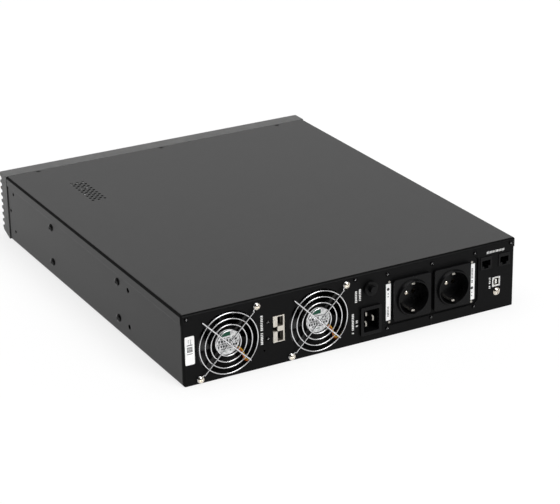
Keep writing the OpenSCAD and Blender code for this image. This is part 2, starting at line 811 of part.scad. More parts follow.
module display_module() color("#9aa7a0") {
    side = 0.5;
    block([window_x - window_w / 2 + side, field_y + window_t + sheet_gap, field_z - window_h / 2 + side],
          [window_x + window_w / 2 - side, display_y, field_z + window_h / 2 - side]);
}

module display_board() color("#1f5a38") {
    margin = 1;
    block([margin - field_w / 2, display_y, field_z - field_h / 2 + margin],
          [field_w / 2 - margin, display_y + board_t, field_z + field_h / 2 - margin]);
    switch_w = 6;
    for (x = key_xs)
        block([x - switch_w / 2, display_y - switch_h, field_z - switch_w / 2],
              [x + switch_w / 2, display_y + eps, field_z + switch_w / 2]);
}

module key(i) color("#3c3c3c") {
    x = key_xs[i];
    foot_r = 1.5;
    bore_y(x, field_z, key_d / 2, field_y - key_proud, key_head_y + eps);
    bore_y(x, field_z, key_d / 2 + 1, key_head_y, key_head_y + key_head_t);
    bore_y(x, field_z, foot_r, key_head_y, key_foot_y);
}

// Fans

module lead_notch() {
    // Way out for the leads, from the bore to the frame's side
    translate([-fan_size / 2 - past, -notch_z - notch_w / 2, -past])
        cube([fan_size / 4, notch_w, strut_set + past]);
}

module fan_frame(x) color("#161616") inward(x, panel_y, fan_z) {
    difference() {
        linear_extrude(fan_depth) difference() {
            round_rect(fan_size, fan_size, fan_corner_r);
            circle(d = fan_bore_d);
            for (sx = [-1, 1], sz = [-1, 1])
                translate([sx * fan_pitch / 2, sz * fan_pitch / 2]) circle(r = fan_hole_r);
        }
        lead_notch();
    }
    difference() {
        union() {
            translate([0, 0, hub_set]) cylinder(d = hub_d, h = hub_t);
            translate([0, 0, hub_set]) cylinder(r = tube_r, h = hub_t + tube_l);
            for (a = [45 : 90 : 315]) rotate(a)
                translate([hub_d / 2 - past, -strut_w / 2, strut_set])
                    cube([fan_bore_r - hub_d / 2 + 2 * past, strut_w, strut_t]);
        }
        translate([0, 0, hub_set + hub_t / 2])
            cylinder(r = shaft_r + shaft_gap, h = tube_l + hub_t / 2 + past);
    }
}

module fan_rotor(x) color("#202020") inward(x, panel_y, fan_z) {
    blade_r = fan_bore_r - tip_gap;
    difference() {
        union() {
            translate([0, 0, cup_set]) cylinder(d = cup_d, h = cup_l);
            for (i = [0 : blade_count - 1]) rotate(i * 360 / blade_count) intersection() {
                translate([0, 0, blade_set]) cylinder(r = blade_r, h = blade_l);
                translate([cup_d * 0.38, 0, blade_set + blade_l / 2]) rotate([blade_tilt, 0, 0])
                    translate([0, -blade_l, -blade_t / 2]) cube([blade_r, 2 * blade_l, blade_t]);
            }
        }
        translate([0, 0, cup_set - past]) cylinder(r = cup_d / 2 - cup_wall, h = cup_l - cup_roof + past);
    }
    shaft_0 = hub_set + hub_t * 0.75;
    translate([0, 0, shaft_0]) cylinder(r = shaft_r, h = cup_set + cup_l - cup_roof - shaft_0 + eps);
}

module fan_stators() color("#7a4a2a") for (x = [fan_1_x, fan_2_x]) inward(x, panel_y, fan_z) {
    stator_0 = hub_set + hub_t;
    difference() {
        translate([0, 0, stator_0]) cylinder(r = cup_d / 2 - cup_wall - stator_gap, h = tube_l - cup_roof);
        translate([0, 0, stator_0 - past]) cylinder(r = tube_r + sheet_gap, h = tube_l + past);
    }
}

module fan_labels() color("#d8dad8") for (x = [fan_1_x, fan_2_x]) inward(x, panel_y, fan_z)
    translate([0, 0, hub_set - sticker_t]) cylinder(d = hub_d * 0.94, h = sticker_t);

// A wire swept along points, each ring square to its run
function unit(v) = v / norm(v);
function run(p, i) = unit(p[min(i + 1, len(p) - 1)] - p[max(i - 1, 0)]);
function ring(p, i, r, sides) =
    let(t = run(p, i), u = unit(cross(t, [0.31, 0.52, 0.8])), v = cross(t, u))
    [for (k = [0 : sides - 1]) p[i] + r * (cos(360 * k / sides) * u + sin(360 * k / sides) * v)];

module wire(p, r) {
    sides = 8;
    n = len(p);
    rings = [for (i = [0 : n - 1], q = ring(p, i, r, sides)) q];
    walls = [for (i = [0 : n - 2], k = [0 : sides - 1], h = [0, 1])
        let(a = i * sides + k, b = i * sides + (k + 1) % sides)
        h == 0 ? [a, b, b + sides] : [a, b + sides, a + sides]];
    first = [for (k = [1 : sides - 2]) [0, k + 1, k]];
    end = (n - 1) * sides;
    last = [for (k = [1 : sides - 2]) [end, end + k, end + k + 1]];
    polyhedron(rings, concat(walls, first, last));
}

module fan_leads() for (x = [fan_1_x, fan_2_x], lead = [0, 1]) color(lead == 0 ? "#e8b020" : "#d0501c") {
    // From the hub in a bow to the notch, round the frame's edge, and back to the main board
    step = 2 * (lead_r + lead_gap);
    side = (lead - 0.5) * -step;
    y = panel_y - strut_set + lead_r;
    z = fan_z - notch_z + side;
    side_x = x - fan_size / 2 - lead_bend - lead * step;
    down_z = board_top + lead_r;
    hub = hub_d / 2 + 4 * lead_gap;
    bow = [[0.445, 0.355], [0.495, 0.429], [0.537, 0.526], [0.56, 0.645], [0.6, 0.724], [0.668, 0.76]];
    middle = concat(
        [[x - hub * 0.803, y, fan_z - hub * 0.596]],
        [for (b = bow) [x - b[0] * fan_bore_r, y, fan_z - b[1] * fan_bore_r]],
        [for (b = [0.79, 1]) [x - b * fan_bore_r, y, fan_z - notch_z]]
    );
    pair = [for (i = [0 : len(middle) - 1]) middle[i] + side * cross([0, 1, 0], run(middle, i))];
    wire(concat(pair, [
        [side_x + lead_bend, y, z],
        [side_x + lead_bend / 4, y - lead_bend / 4, z],
        [side_x, y - lead_bend, z],
        [side_x, panel_y - fan_depth / 2, z],
        [side_x, panel_y - fan_depth, z - lead_r],
        [side_x, panel_y - fan_depth - main_front / 2, (z + down_z) / 2],
        [side_x, main_y1, down_z + lead_r],
        [side_x, main_y1 - wall_clear, down_z]
    ]), lead_r);
}

module fan_guard(x) color("#d5d6d8") outward(x, rear_y, fan_z) {
    for (i = [0 : ring_count - 1]) translate([0, 0, guard_ring_y])
        rotate_extrude() translate([ring_r - i * ring_pitch, 0]) circle(r = ring_wire_r);
    for (a = [135, 315]) rotate(a) translate([0, 0, guard_spoke_y]) {
        reach = a == 135 ? spoke_short_r : spoke_long_r;
        rotate([0, 90, 0]) cylinder(r = spoke_wire_r, h = reach);
        translate([reach, 0, 0]) sphere(r = spoke_wire_r);
    }
    for (a = [45, 225]) rotate(a) {
        translate([0, 0, guard_spoke_y]) rotate([0, 90, 0]) cylinder(r = spoke_wire_r, h = eyelet_leg_r);
        translate([eyelet_leg_r, 0, guard_spoke_y]) sphere(r = spoke_wire_r);
        // Leg down beside the screw's head, and the eyelet under the head
        translate([eyelet_leg_r, 0, eyelet_wire_r]) {
            cylinder(r = eyelet_wire_r, h = guard_spoke_y - eyelet_wire_r);
            sphere(r = eyelet_wire_r);
            rotate([0, 90, 0]) cylinder(r = eyelet_wire_r, h = eyelet_reach - eyelet_r - eyelet_leg_r);
        }
        translate([eyelet_reach, 0, eyelet_wire_r])
            rotate_extrude() translate([eyelet_r, 0]) circle(r = eyelet_wire_r);
    }
}

module guard_screws() color("#cfcac0") for (x = [fan_1_x, fan_2_x], s = [-1, 1])
    outward(x + s * fan_pitch / 2, rear_y + 2 * eyelet_wire_r, fan_z - s * fan_pitch / 2) guard_screw();

// Sockets

module socket_plate() color("#1c1c1d") difference() {
    along_y(plate_y, panel_y - sheet_gap) translate([plate_x, plate_z]) difference() {
        square([plate_w, plate_h], center = true);
        for (s = [-1, 1]) translate([s * socket_pitch / 2, socket_z - plate_z])
            square([socket_body_w + socket_fit, socket_body_h + socket_fit], center = true);
    }
    for (x = plate_screw_xs, z = plate_screw_zs) bore_y(x, z, small_r + screw_gap, plate_y - past, rear_y);
    for (x = rivet_xs, z = rivet_zs) bore_y(x, z, rivet_r + sheet_gap, plate_y - past, rear_y);
}

module plate_rivets() color("#b4b2ac") for (x = rivet_xs, z = rivet_zs) {
    bore_y(x, z, rivet_r, plate_y - rivet_head_h, panel_y);
    bore_y(x, z, rivet_head_r, panel_y - sheet_gap, panel_y - sheet_gap + rivet_head_h);
}

module clip_slots() for (s = [-1, 1]) {
    outer = well_d / 2 + clip_slot_d;
    inner = well_d * 0.35;
    translate([-clip_slot_w / 2, s > 0 ? inner : -outer, -past])
        cube([clip_slot_w, outer - inner, well_depth + past]);
}

module socket(i) color("#17171a") inward(socket_xs[i], socket_rim_y, socket_z) {
    front_l = socket_rim_y - panel_y;
    corner_r = 2.5;
    difference() {
        union() {
            cylinder(r1 = well_d / 2 + well_rim_w, r2 = well_d / 2 + well_foot_w, h = well_collar_h + eps);
            translate([0, 0, well_collar_h])
                linear_extrude(front_l - well_collar_h) round_rect(socket_w, socket_h, corner_r);
            translate([0, 0, front_l - eps]) linear_extrude(socket_depth)
                square([socket_body_w, socket_body_h], center = true);
        }
        translate([0, 0, -past]) cylinder(d = well_d, h = well_depth + past);
        clip_slots();
        for (s = [-1, 1]) translate([s * pin_pitch / 2, 0, 0]) {
            translate([0, 0, well_depth - past]) cylinder(d = pin_hole_d, h = floor_t + 2 * past);
            translate([0, 0, well_depth + floor_t])
                cylinder(r = contact_r + sheet_gap, h = socket_depth + front_l);
        }
        translate([0, 0, well_depth - past]) cylinder(r = small_r + screw_gap, h = floor_t + socket_depth);
    }
}

module socket_contacts() color("#b8913c") for (x = socket_xs, s = [-1, 1])
    inward(x + s * pin_pitch / 2, well_floor_y - floor_t, socket_z) difference() {
        cylinder(r = contact_r, h = contact_l);
        translate([0, 0, -past]) cylinder(r = contact_bore_r, h = contact_l + 2 * past);
    }

module earth_clips() color("#c9c6bd") for (x = socket_xs, s = [-1, 1]) {
    // A strip up the side of the well, folded over towards the middle
    outer = well_d / 2 - clip_stand;
    fold_r = clip_fold_r;
    inner = outer - 2 * fold_r + clip_t;
    front = socket_rim_y - clip_set;
    translate([x, 0, socket_z]) mirror([0, 0, s < 0 ? 1 : 0]) along_x(-clip_w / 2, clip_w / 2) {
        translate([well_floor_y, outer - clip_t]) square([front - fold_r - well_floor_y + eps, clip_t]);
        translate([front - fold_r, outer - fold_r]) difference() {
            circle(r = fold_r);
            circle(r = fold_r - clip_t);
            translate([-2 * fold_r, -fold_r - past]) square([2 * fold_r, 2 * fold_r + 2 * past]);
        }
        translate([front - fold_r - clip_leg, inner - clip_t]) square([clip_leg + eps, clip_t]);
    }
}

module socket_screws() color("#cfcac0")
    for (x = socket_xs) outward(x, well_floor_y, socket_z) small_screw();

// Mains inlet and breaker

module inlet_body() color("#141416") inward(inlet_x, rear_y + inlet_proud, inlet_z) {
    corner_r = 1.5;
    difference() {
        union() {
            linear_extrude(inlet_proud) round_rect(inlet_w, inlet_h, corner_r);
            translate([0, 0, inlet_proud - eps]) linear_extrude(inlet_body_depth)
                square([inlet_body_w, inlet_body_h], center = true);
        }
        translate([0, 0, -past])
            linear_extrude(recess_depth + past) round_rect(recess_w, recess_h, corner_r);
        translate([0, 0, recess_depth - past])
            linear_extrude(inlet_body_depth + inlet_proud) blade_sections();
    }
}

// Places of the three blades: two above each other, and the earth blade beside them
blade_places = [
    [blade_offset / 2, blade_pitch / 2, blade_tip],
    [blade_offset / 2, -blade_pitch / 2, blade_tip],
    [-blade_offset / 2, 0, blade_tip - earth_lead]
];

module blade_sections() for (at = blade_places)
    translate([at[0], at[1]]) square([blade_thick, blade_w], center = true);

// Side view of a blade with its narrowed tip
module blade_side(tip) {
    half = blade_w / 2;
    end = inlet_proud + inlet_body_depth + blade_tail;
    polygon([
        [-half, tip + blade_nose], [blade_nose - half, tip], [half - blade_nose, tip],
        [half, tip + blade_nose], [half, end], [-half, end]
    ]);
}

module inlet_blades() color("#d9d6cc") inward(inlet_x, rear_y + inlet_proud, inlet_z)
    for (at = blade_places) translate([at[0] - blade_thick / 2, at[1], 0])
        rotate([90, 0, 90]) linear_extrude(blade_thick) blade_side(at[2]);

module breaker_body() color("#18181a") difference() {
    button_r = reset_d / 2 + key_gap;
    union() {
        block([breaker_x - breaker_w / 2, panel_y - breaker_depth, breaker_z - breaker_h / 2],
              [breaker_x + breaker_w / 2, panel_y - sheet_gap, breaker_z + breaker_h * 0.42]);
        bore_y(breaker_x, breaker_z, bush_d / 2, panel_y - sheet_gap - eps, rear_y + collar_t);
    }
    bore_y(breaker_x, breaker_z, button_r, rear_y - reset_reach - key_gap, rear_y + collar_t + past);
}

module breaker_collar() color("#1b1b1c") difference() {
    rim = 0.6;
    union() {
        bore_y(breaker_x, breaker_z, collar_d / 2, rear_y, rear_y + collar_t - rim);
        bore_y(breaker_x, breaker_z, collar_d / 2 - rim, rear_y, rear_y + collar_t);
    }
    bore_y(breaker_x, breaker_z, bush_d / 2 + screw_gap, rear_y - past, rear_y + collar_t + past);
}

module breaker_button() color("#222224")
    bore_y(breaker_x, breaker_z, reset_d / 2, rear_y - reset_reach, rear_y + reset_reach);

// Battery port

module battery_port() color("#c9c5ba") difference() {
    front = rear_y + port_proud;
    x0 = port_x - port_w / 2;
    x1 = port_x + port_w / 2;
    z0 = port_z - port_h / 2;
    z1 = port_z + port_h / 2;
    union() {
        block([x0, panel_y - port_depth, z0], [x1, front, z1]);
        // Ear behind the panel, for the two screws
        block([x0, panel_y - sheet_gap - port_flange_t, port_z - port_ear_h / 2],
              [port_ear_x, panel_y - sheet_gap, port_z + port_ear_h / 2]);
    }
    // Notch between the two solid halves
    block([x1 - port_split, front - port_cavity_depth, port_z - port_rib / 2],
          [x1 + past, front + past, port_z + port_rib / 2]);
    for (s = [-1, 1]) {
        mid = port_z + s * port_cavity_z;
        block([x0 + port_wall, front - port_cavity_depth, mid - port_cavity_h / 2],
              [x0 + port_wall + port_cavity_w, front + past, mid + port_cavity_h / 2]);
    }
    for (z = port_screw_zs)
        bore_y(port_screw_x, z, small_r + screw_gap, panel_y - port_flange_t - past, rear_y);
}

module port_contacts() color("#d3d3d0") for (s = [-1, 1]) {
    front = rear_y + port_proud;
    mid = port_z + s * port_cavity_z;
    x = port_x - port_w / 2 + port_wall;
    half = port_cavity_h * 0.37;
    block([x, front - port_cavity_depth, mid - half], [x + contact_t, front - contact_set, mid + half]);
}

// Jacks and bus port

module jack(i) color("#131315") inward(jack_xs[i], rear_y + jack_proud, jack_z) difference() {
    linear_extrude(jack_proud + panel_t + jack_depth) square(jack_size, center = true);
    translate([0, 0, -past]) linear_extrude(jack_open_depth + past) {
        square([jack_open_w, jack_open_h], center = true);
        translate([-jack_latch_w / 2, -jack_open_h / 2 - jack_latch_h])
            square([jack_latch_w, jack_latch_h + past]);
    }
}

module jack_contacts() color("#c9a24a") for (x = jack_xs, k = [-3.5 : 1 : 3.5])
    inward(x + k * jack_contact_pitch, rear_y + jack_proud - jack_contact_set,
           jack_z + jack_open_h / 2 - jack_contact_h)
        translate([-jack_contact_w / 2, 0, 0])
            cube([jack_contact_w, jack_contact_h, jack_open_depth - jack_contact_set]);

module usb_shell() color("#c8c8c6") inward(usb_x, rear_y + jack_proud, usb_z)
    linear_extrude(jack_proud + panel_t + jack_depth) difference() {
        square([usb_w, usb_h], center = true);
        square([usb_w - 2 * usb_wall, usb_h - 2 * usb_wall], center = true);
    }

module usb_insert() color("#e6e4dc") inward(usb_x, rear_y + jack_proud - usb_set, usb_z) {
    wide = usb_w - 2 * usb_wall - sheet_gap;
    high = usb_h - 2 * usb_wall - sheet_gap;
    deep = panel_t + jack_depth + jack_proud - 2 * usb_set;
    difference() {
        linear_extrude(deep) square([wide, high], center = true);
        translate([0, 0, -past]) linear_extrude(usb_open_depth + past) usb_outline();
    }
    translate([0, 0, usb_wall])
        linear_extrude(usb_open_depth) square([usb_tongue_w, usb_tongue_h], center = true);
}

// Mouth of the bus port, which lies on its side, with its two cut corners towards the sockets
module usb_outline() {
    x = usb_open_w / 2;
    z = usb_open_h / 2;
    c = usb_corner;
    polygon([[-x, -z], [x - c, -z], [x, c - z], [x, z - c], [x - c, z], [-x, z]]);
}

module earth_screw() color("#cfcac0") {
    outward(earth_x, rear_y + washer_t, earth_z) pan_screw(large_head_r, large_head_h, large_r, large_l);
    outward(earth_x, rear_y, earth_z) difference() {
        cylinder(r = washer_r, h = washer_t);
        translate([0, 0, -past]) cylinder(r = large_r + screw_gap, h = washer_t + 2 * past);
    }
}

// Fasteners and stickers

module panel_screws() color("#161617") {
    for (x = lid_rear_xs) outward(x, rear_y, lid_rear_z) small_screw();
    for (x = plate_screw_xs, z = plate_screw_zs) outward(x, rear_y, z) small_screw();
    for (z = port_screw_zs) outward(port_screw_x, rear_y, z) small_screw();
}

module lid_screws() color("#161617") for (x = lid_screw_xs) translate([x, joint_y + lid_screw_back, 0]) {
    seat = case_h - sheet_t - sheet_gap;
    difference() {
        translate([0, 0, seat]) cylinder(r = small_head_r, h = sheet_t + sheet_gap);
        for (a = [0, 90]) rotate(a)
            translate([-small_head_r * 0.6, -slot_w / 2, case_h - sheet_t / 2])
                cube([small_head_r * 1.2, slot_w, past]);
    }
    translate([0, 0, seat - small_l]) cylinder(r = small_r, h = small_l + eps);
}

module side_screws() color("#161617")
    for (side = [-1, 1], back = [side_screw_rear, side_screw_front], row = [0, 1])
        translate([side * tray_w / 2, rear_y - back, side_screw_z + row * side_screw_pitch])
            rotate([0, 90 * side, 0]) pan_screw(side_head_r, large_head_h, large_r, side_l);

module stickers() color("#f2f2f0") {
    along_y(rear_y, rear_y + sticker_t)
        translate([rating_x, rating_z]) round_rect(rating_w, rating_h, rating_r);
    along_y(panel_y - sheet_gap, panel_y - sheet_gap + sticker_t)
        for (x = strip_xs) translate([x, strip_z]) square([strip_w, strip_h], center = true);
}

// Inside

module battery_blocks() color("#2a2d33") for (column = [0, 1], row = [0, 1])
    translate([block_x0 + column * (block_l + block_play), block_y0 + row * (block_d + block_gap), floor_z])
        cube([block_l, block_d, block_h]);

module battery_terminals() color("#b9b9b4") {
    size = [6, 8, 0.8];
    end = block_l * 0.13;
    for (column = [0, 1], row = [0, 1], x = [end, block_l - end])
        translate([
            block_x0 + column * (block_l + block_play) + x - size[0] / 2,
            block_y0 + row * (block_d + block_gap) + block_d,
            floor_z + block_h * 0.78
        ]) cube(size);
}

module battery_straps() color("#8d8f92") for (row = [0, 1]) {
    y0 = block_y0 + row * (block_d + block_gap) + block_d / 2 - strap_w / 2;
    x0 = block_x0 - strap_t - sheet_gap;
    x1 = block_x0 + 2 * block_l + block_play + sheet_gap;
    foot = 8;
    top = floor_z + block_h + sheet_gap;
    block([x0, y0, top], [x1 + strap_t, y0 + strap_w, top + strap_t]);
    block([x0, y0, floor_z], [x0 + strap_t, y0 + strap_w, top + eps]);
    block([x1, y0, floor_z], [x1 + strap_t, y0 + strap_w, top + eps]);
    block([x1, y0, floor_z], [x1 + foot, y0 + strap_w, floor_z + strap_t]);
}

module main_board() color("#1f5a38")
    block([main_x1 - main_w, main_y1 - main_d, board_z], [main_x1, main_y1, board_top]);

module charger_board() color("#1f5a38") {
    x0 = charger_x1 - charger_w;
    y1 = charger_y0 + charger_d;
    block([x0, charger_y0, board_z], [charger_x1, y1, board_top]);
    // Switching transformer, and the cooler of the charger's transistors
    coil_w = charger_w * 0.42;
    coil_h = block_h * 0.52;
    cooler_w = charger_w * 0.63;
    cooler_t = 6;
    cooler_h = block_h * 0.62;
    mid_x = charger_x1 - charger_w / 2;
    coil_y = charger_y0 + charger_d * 0.3;
    cooler_y = charger_y0 + charger_d * 0.6;
    block([mid_x - coil_w / 2, coil_y - coil_w / 2, board_top - eps],
          [mid_x + coil_w / 2, coil_y + coil_w / 2, board_top + coil_h]);
    block([mid_x - cooler_w / 2, cooler_y, board_top - eps],
          [mid_x + cooler_w / 2, cooler_y + cooler_t, board_top + cooler_h]);
}

module filter_board() color("#1f5a38") {
    x0 = filter_x1 - filter_w;
    block([x0, filter_y1 - filter_d, board_z], [filter_x1, filter_y1, board_top]);
    // Suppression capacitors
    capacitors = 3;
    pitch = filter_w / (capacitors + 0.75);
    width = pitch * 0.65;
    thick = filter_d * 0.13;
    tall = block_h * 0.34;
    y0 = filter_y1 - filter_d * 0.36;
    for (k = [0 : capacitors - 1]) {
        left = x0 + pitch * (k + 0.55);
        block([left, y0, board_top - eps], [left + width, y0 + thick, board_top + tall]);
    }
}

module interface_board() color("#1f5a38") {
    block([jack_xs[1] - jack_size / 2, interface_y - board_t, earth_z - jack_size / 2],
          [jack_xs[0] + jack_size / 2, interface_y, jack_z + jack_size * 0.7]);
}

module heat_sinks() color("#b4b6b8") for (x = sink_xs) {
    y0 = main_y1 - main_d * 0.73;
    y1 = main_y1 - main_d * 0.08;
    pitch = (sink_w - fin_t) / (fin_count - 1);
    block([x - sink_w / 2, y0, board_top], [x + sink_w / 2, y1, board_top + sink_base]);
    for (i = [0 : fin_count - 1])
        block([x - sink_w / 2 + i * pitch, y0, board_top + sink_base - eps],
              [x - sink_w / 2 + i * pitch + fin_t, y1, board_top + sink_h]);
}

module bus_capacitors() color("#26303c") for (i = [0 : 3])
    translate([(sink_xs[0] + sink_xs[1]) / 2, main_y1 - cap_d - i * (cap_d + block_play), board_top])
        cylinder(d = cap_d - block_play, h = cap_h);

module chokes() color("#8a5a2c") {
    count = 4;
    outer_r = main_d * 0.105;
    inner_r = outer_r * 0.45;
    tall = outer_r * 1.5;
    pitch = main_w / (count + 0.5);
    for (i = [0 : count - 1])
        translate([main_x1 - pitch * (i + 0.6), main_y1 - main_d + outer_r + block_play, board_top])
            difference() {
                cylinder(r = outer_r, h = tall);
                translate([0, 0, -past]) cylinder(r = inner_r, h = tall + 2 * past);
            }
}

module transformer() color("#4a4038") {
    core_w = filter_w * 0.4;
    core_d = filter_d * 0.4;
    core_h = block_h * 0.77;
    x0 = filter_x1 - filter_w + wall_clear;
    y0 = filter_y1 - filter_d + wall_clear;
    block([x0, y0, board_top], [x0 + core_w, y0 + core_d, board_top + core_h]);
}

module relays() color("#20262e") {
    count = 3;
    pitch = filter_w * 0.13;
    relay_w = pitch - block_play;
    relay_d = filter_d * 0.25;
    relay_h = block_h * 0.38;
    y0 = filter_y1 - filter_d + wall_clear;
    for (i = [0 : count - 1]) {
        x1 = filter_x1 - wall_clear - i * pitch;
        block([x1 - relay_w, y0, board_top], [x1, y0 + relay_d, board_top + relay_h]);
    }
}

module standoffs() color("#c0b070") {
    inset = wall_clear;
    for (box = [
        [main_x1 - main_w, main_y1 - main_d, main_x1, main_y1],
        [charger_x1 - charger_w, charger_y0, charger_x1, charger_y0 + charger_d],
        [filter_x1 - filter_w, filter_y1 - filter_d, filter_x1, filter_y1]
    ], x = [box[0] + inset, box[2] - inset], y = [box[1] + inset, box[3] - inset])
        translate([x, y, floor_z]) cylinder(r = standoff_r, h = board_lift);
}

bottom_tray();
rear_panel();
top_cover();
front_panel();
front_bezel();
wall_plates();
fan_frame(fan_1_x);  // fan_frame_1
fan_frame(fan_2_x);  // fan_frame_2
fan_rotor(fan_1_x);  // fan_rotor_1
fan_rotor(fan_2_x);  // fan_rotor_2
fan_stators();
fan_labels();
fan_leads();
fan_guard(fan_1_x);  // fan_guard_1
fan_guard(fan_2_x);  // fan_guard_2
guard_screws();
socket_plate();
plate_rivets();
socket(0);  // socket_1
socket(1);  // socket_2
socket_contacts();
earth_clips();
socket_screws();
inlet_body();
inlet_blades();
breaker_body();
breaker_collar();
breaker_button();
battery_port();
port_contacts();
jack(0);  // jack_1
jack(1);  // jack_2
jack_contacts();
usb_shell();
usb_insert();
earth_screw();
panel_screws();
lid_screws();
side_screws();
stickers();
display_window();
display_module();
display_board();
key(0);  // key_1
key(1);  // key_2
key(2);  // key_3
battery_blocks();
battery_terminals();
battery_straps();
main_board();
charger_board();
filter_board();
interface_board();
heat_sinks();
bus_capacitors();
chokes();
transformer();
relays();
standoffs();
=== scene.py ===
# Looks of a rack uninterruptible power supply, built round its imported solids.
import math

import bmesh
import bpy
from mathutils import Matrix, Vector


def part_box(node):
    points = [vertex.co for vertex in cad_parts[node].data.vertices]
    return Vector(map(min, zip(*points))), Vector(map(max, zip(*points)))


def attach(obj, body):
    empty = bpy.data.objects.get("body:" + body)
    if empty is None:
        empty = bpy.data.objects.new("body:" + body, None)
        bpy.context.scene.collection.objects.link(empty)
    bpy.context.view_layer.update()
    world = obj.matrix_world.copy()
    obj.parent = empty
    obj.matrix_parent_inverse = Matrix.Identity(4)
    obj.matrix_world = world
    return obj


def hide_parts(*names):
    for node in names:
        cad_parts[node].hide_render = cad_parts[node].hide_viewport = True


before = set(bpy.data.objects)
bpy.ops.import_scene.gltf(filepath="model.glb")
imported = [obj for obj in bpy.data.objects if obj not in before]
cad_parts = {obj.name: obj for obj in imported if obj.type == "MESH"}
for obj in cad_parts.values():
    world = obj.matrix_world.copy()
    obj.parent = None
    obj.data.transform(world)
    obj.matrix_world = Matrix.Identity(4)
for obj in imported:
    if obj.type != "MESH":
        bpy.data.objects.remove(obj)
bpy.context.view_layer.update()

# Camera
# The photograph shows the case from behind and from its +X side, a little from above. It was taken through a
# long lens, with the camera held slightly askew.
camera_place = Vector((1.0585, 2.0279, 0.9683))
camera_azimuth = math.radians(151.447)
camera_elevation = math.radians(22.489)
camera_roll = math.radians(-0.966)
camera_data = bpy.data.cameras.new("photo_camera")
camera_data.sensor_fit = "HORIZONTAL"
camera_data.sensor_width = 36.0
camera_data.lens = 128.15
camera = bpy.data.objects.new("photo_camera", camera_data)
camera_turn = (
    Matrix.Rotation(camera_azimuth, 4, "Z")
    @ Matrix.Rotation(math.pi / 2 - camera_elevation, 4, "X")
    @ Matrix.Rotation(camera_roll, 4, "Z")
)
camera.matrix_world = Matrix.Translation(camera_place) @ camera_turn
bpy.context.collection.objects.link(camera)
bpy.context.scene.camera = camera
bpy.context.scene.view_settings.view_transform = "Standard"

# Studio
# A white floor, a low white backdrop round the far half of the room, a broad softbox straight overhead and
# a small key softbox well up on the rear panel's side. The rest of the room is dim, so that satin paint shows
# the backdrop on its flats while its rounded edges stay dark.
floor_half = 20.0
floor_drop = 0.0004
floor_white = (0.93, 0.93, 0.93, 1.0)
floor_rough = 0.9
floor_lift = 0.75
room_level = 0.045
backdrop_low, backdrop_high = 0.58, 1.1
backdrop_towards = (-0.477, -0.879, 0.0)
backdrop_side = (-0.2, 0.2)
backdrop_rise = (0.28, 0.46)
backdrop_top = (0.465, 0.53)
softbox_level = 2.35
softbox_edge = (0.78, 0.92)
key_level = 7.4
key_towards = (-0.25, 0.75, 0.61)
key_edge = (0.94, 0.978)


def new_material(name):
    """A new material, with its node tree and its principled shader."""
    material = bpy.data.materials.new(name)
    material.use_nodes = True
    tree = material.node_tree
    shader = next(node for node in tree.nodes if node.type == "BSDF_PRINCIPLED")
    return material, tree, shader


floor_mesh = bpy.data.meshes.new("studio_floor")
floor_corners = [
    (x * floor_half, y * floor_half, -floor_drop) for x, y in ((-1, -1), (1, -1), (1, 1), (-1, 1))
]
floor_mesh.from_pydata(floor_corners, [], [(0, 1, 2, 3)])
studio_floor = bpy.data.objects.new("studio_floor", floor_mesh)
bpy.context.collection.objects.link(studio_floor)
floor_paint, floor_tree, floor_shader = new_material("studio_floor_paint")
floor_shader.inputs["Base Color"].default_value = floor_white
floor_shader.inputs["Roughness"].default_value = floor_rough
floor_shader.inputs["Specular IOR Level"].default_value = 0.0
# Where the floor is seen, straight or in a gloss, it is lifted part of the way to plain white. It keeps a
# fainter shadow of the case, and the light that it throws on the case stays as it is.
floor_rays = floor_tree.nodes.new("ShaderNodeLightPath")
floor_seen = floor_rays.outputs["Is Camera Ray"]
for ray_kind in ("Is Glossy Ray", "Is Transmission Ray"):
    either_ray = floor_tree.nodes.new("ShaderNodeMath")
    either_ray.operation = "MAXIMUM"
    floor_tree.links.new(floor_seen, either_ray.inputs[0])
    floor_tree.links.new(floor_rays.outputs[ray_kind], either_ray.inputs[1])
    floor_seen = either_ray.outputs["Value"]
floor_share = floor_tree.nodes.new("ShaderNodeMath")
floor_share.operation = "MULTIPLY"
floor_share.inputs[1].default_value = floor_lift
floor_tree.links.new(floor_seen, floor_share.inputs[0])
floor_glow = floor_tree.nodes.new("ShaderNodeEmission")
floor_mix = floor_tree.nodes.new("ShaderNodeMixShader")
floor_tree.links.new(floor_share.outputs["Value"], floor_mix.inputs["Fac"])
floor_tree.links.new(floor_shader.outputs["BSDF"], floor_mix.inputs[1])
floor_tree.links.new(floor_glow.outputs["Emission"], floor_mix.inputs[2])
floor_output = next(node for node in floor_tree.nodes if node.type == "OUTPUT_MATERIAL")
floor_tree.links.new(floor_mix.outputs["Shader"], floor_output.inputs["Surface"])
floor_mesh.materials.append(floor_paint)

world = bpy.data.worlds.new("studio_room")
world.use_nodes = True
bpy.context.scene.world = world
room = world.node_tree
room_light = next(node for node in room.nodes if node.type == "BACKGROUND")
room_light.inputs["Color"].default_value = (1.0, 1.0, 1.0, 1.0)
room_direction = room.nodes.new("ShaderNodeTexCoord")
room_axes = room.nodes.new("ShaderNodeSeparateXYZ")
room.links.new(room_direction.outputs["Generated"], room_axes.inputs["Vector"])


def room_towards(direction):
    """The cosine of the angle between a view of the room and a given direction."""
    towards = room.nodes.new("ShaderNodeVectorMath")
    towards.operation = "DOT_PRODUCT"
    towards.inputs[1].default_value = direction
    room.links.new(room_direction.outputs["Generated"], towards.inputs[0])
    return towards.outputs["Value"]


def room_fade(value, edge, start, end):
    """A smooth step of the room's light between two edges, from a start level to an end level."""
    fade = room.nodes.new("ShaderNodeMapRange")
    fade.interpolation_type = "SMOOTHSTEP"
    fade.inputs["From Min"].default_value = edge[0]
    fade.inputs["From Max"].default_value = edge[1]
    fade.inputs["To Min"].default_value = start
    fade.inputs["To Max"].default_value = end
    room.links.new(value, fade.inputs["Value"])
    return fade


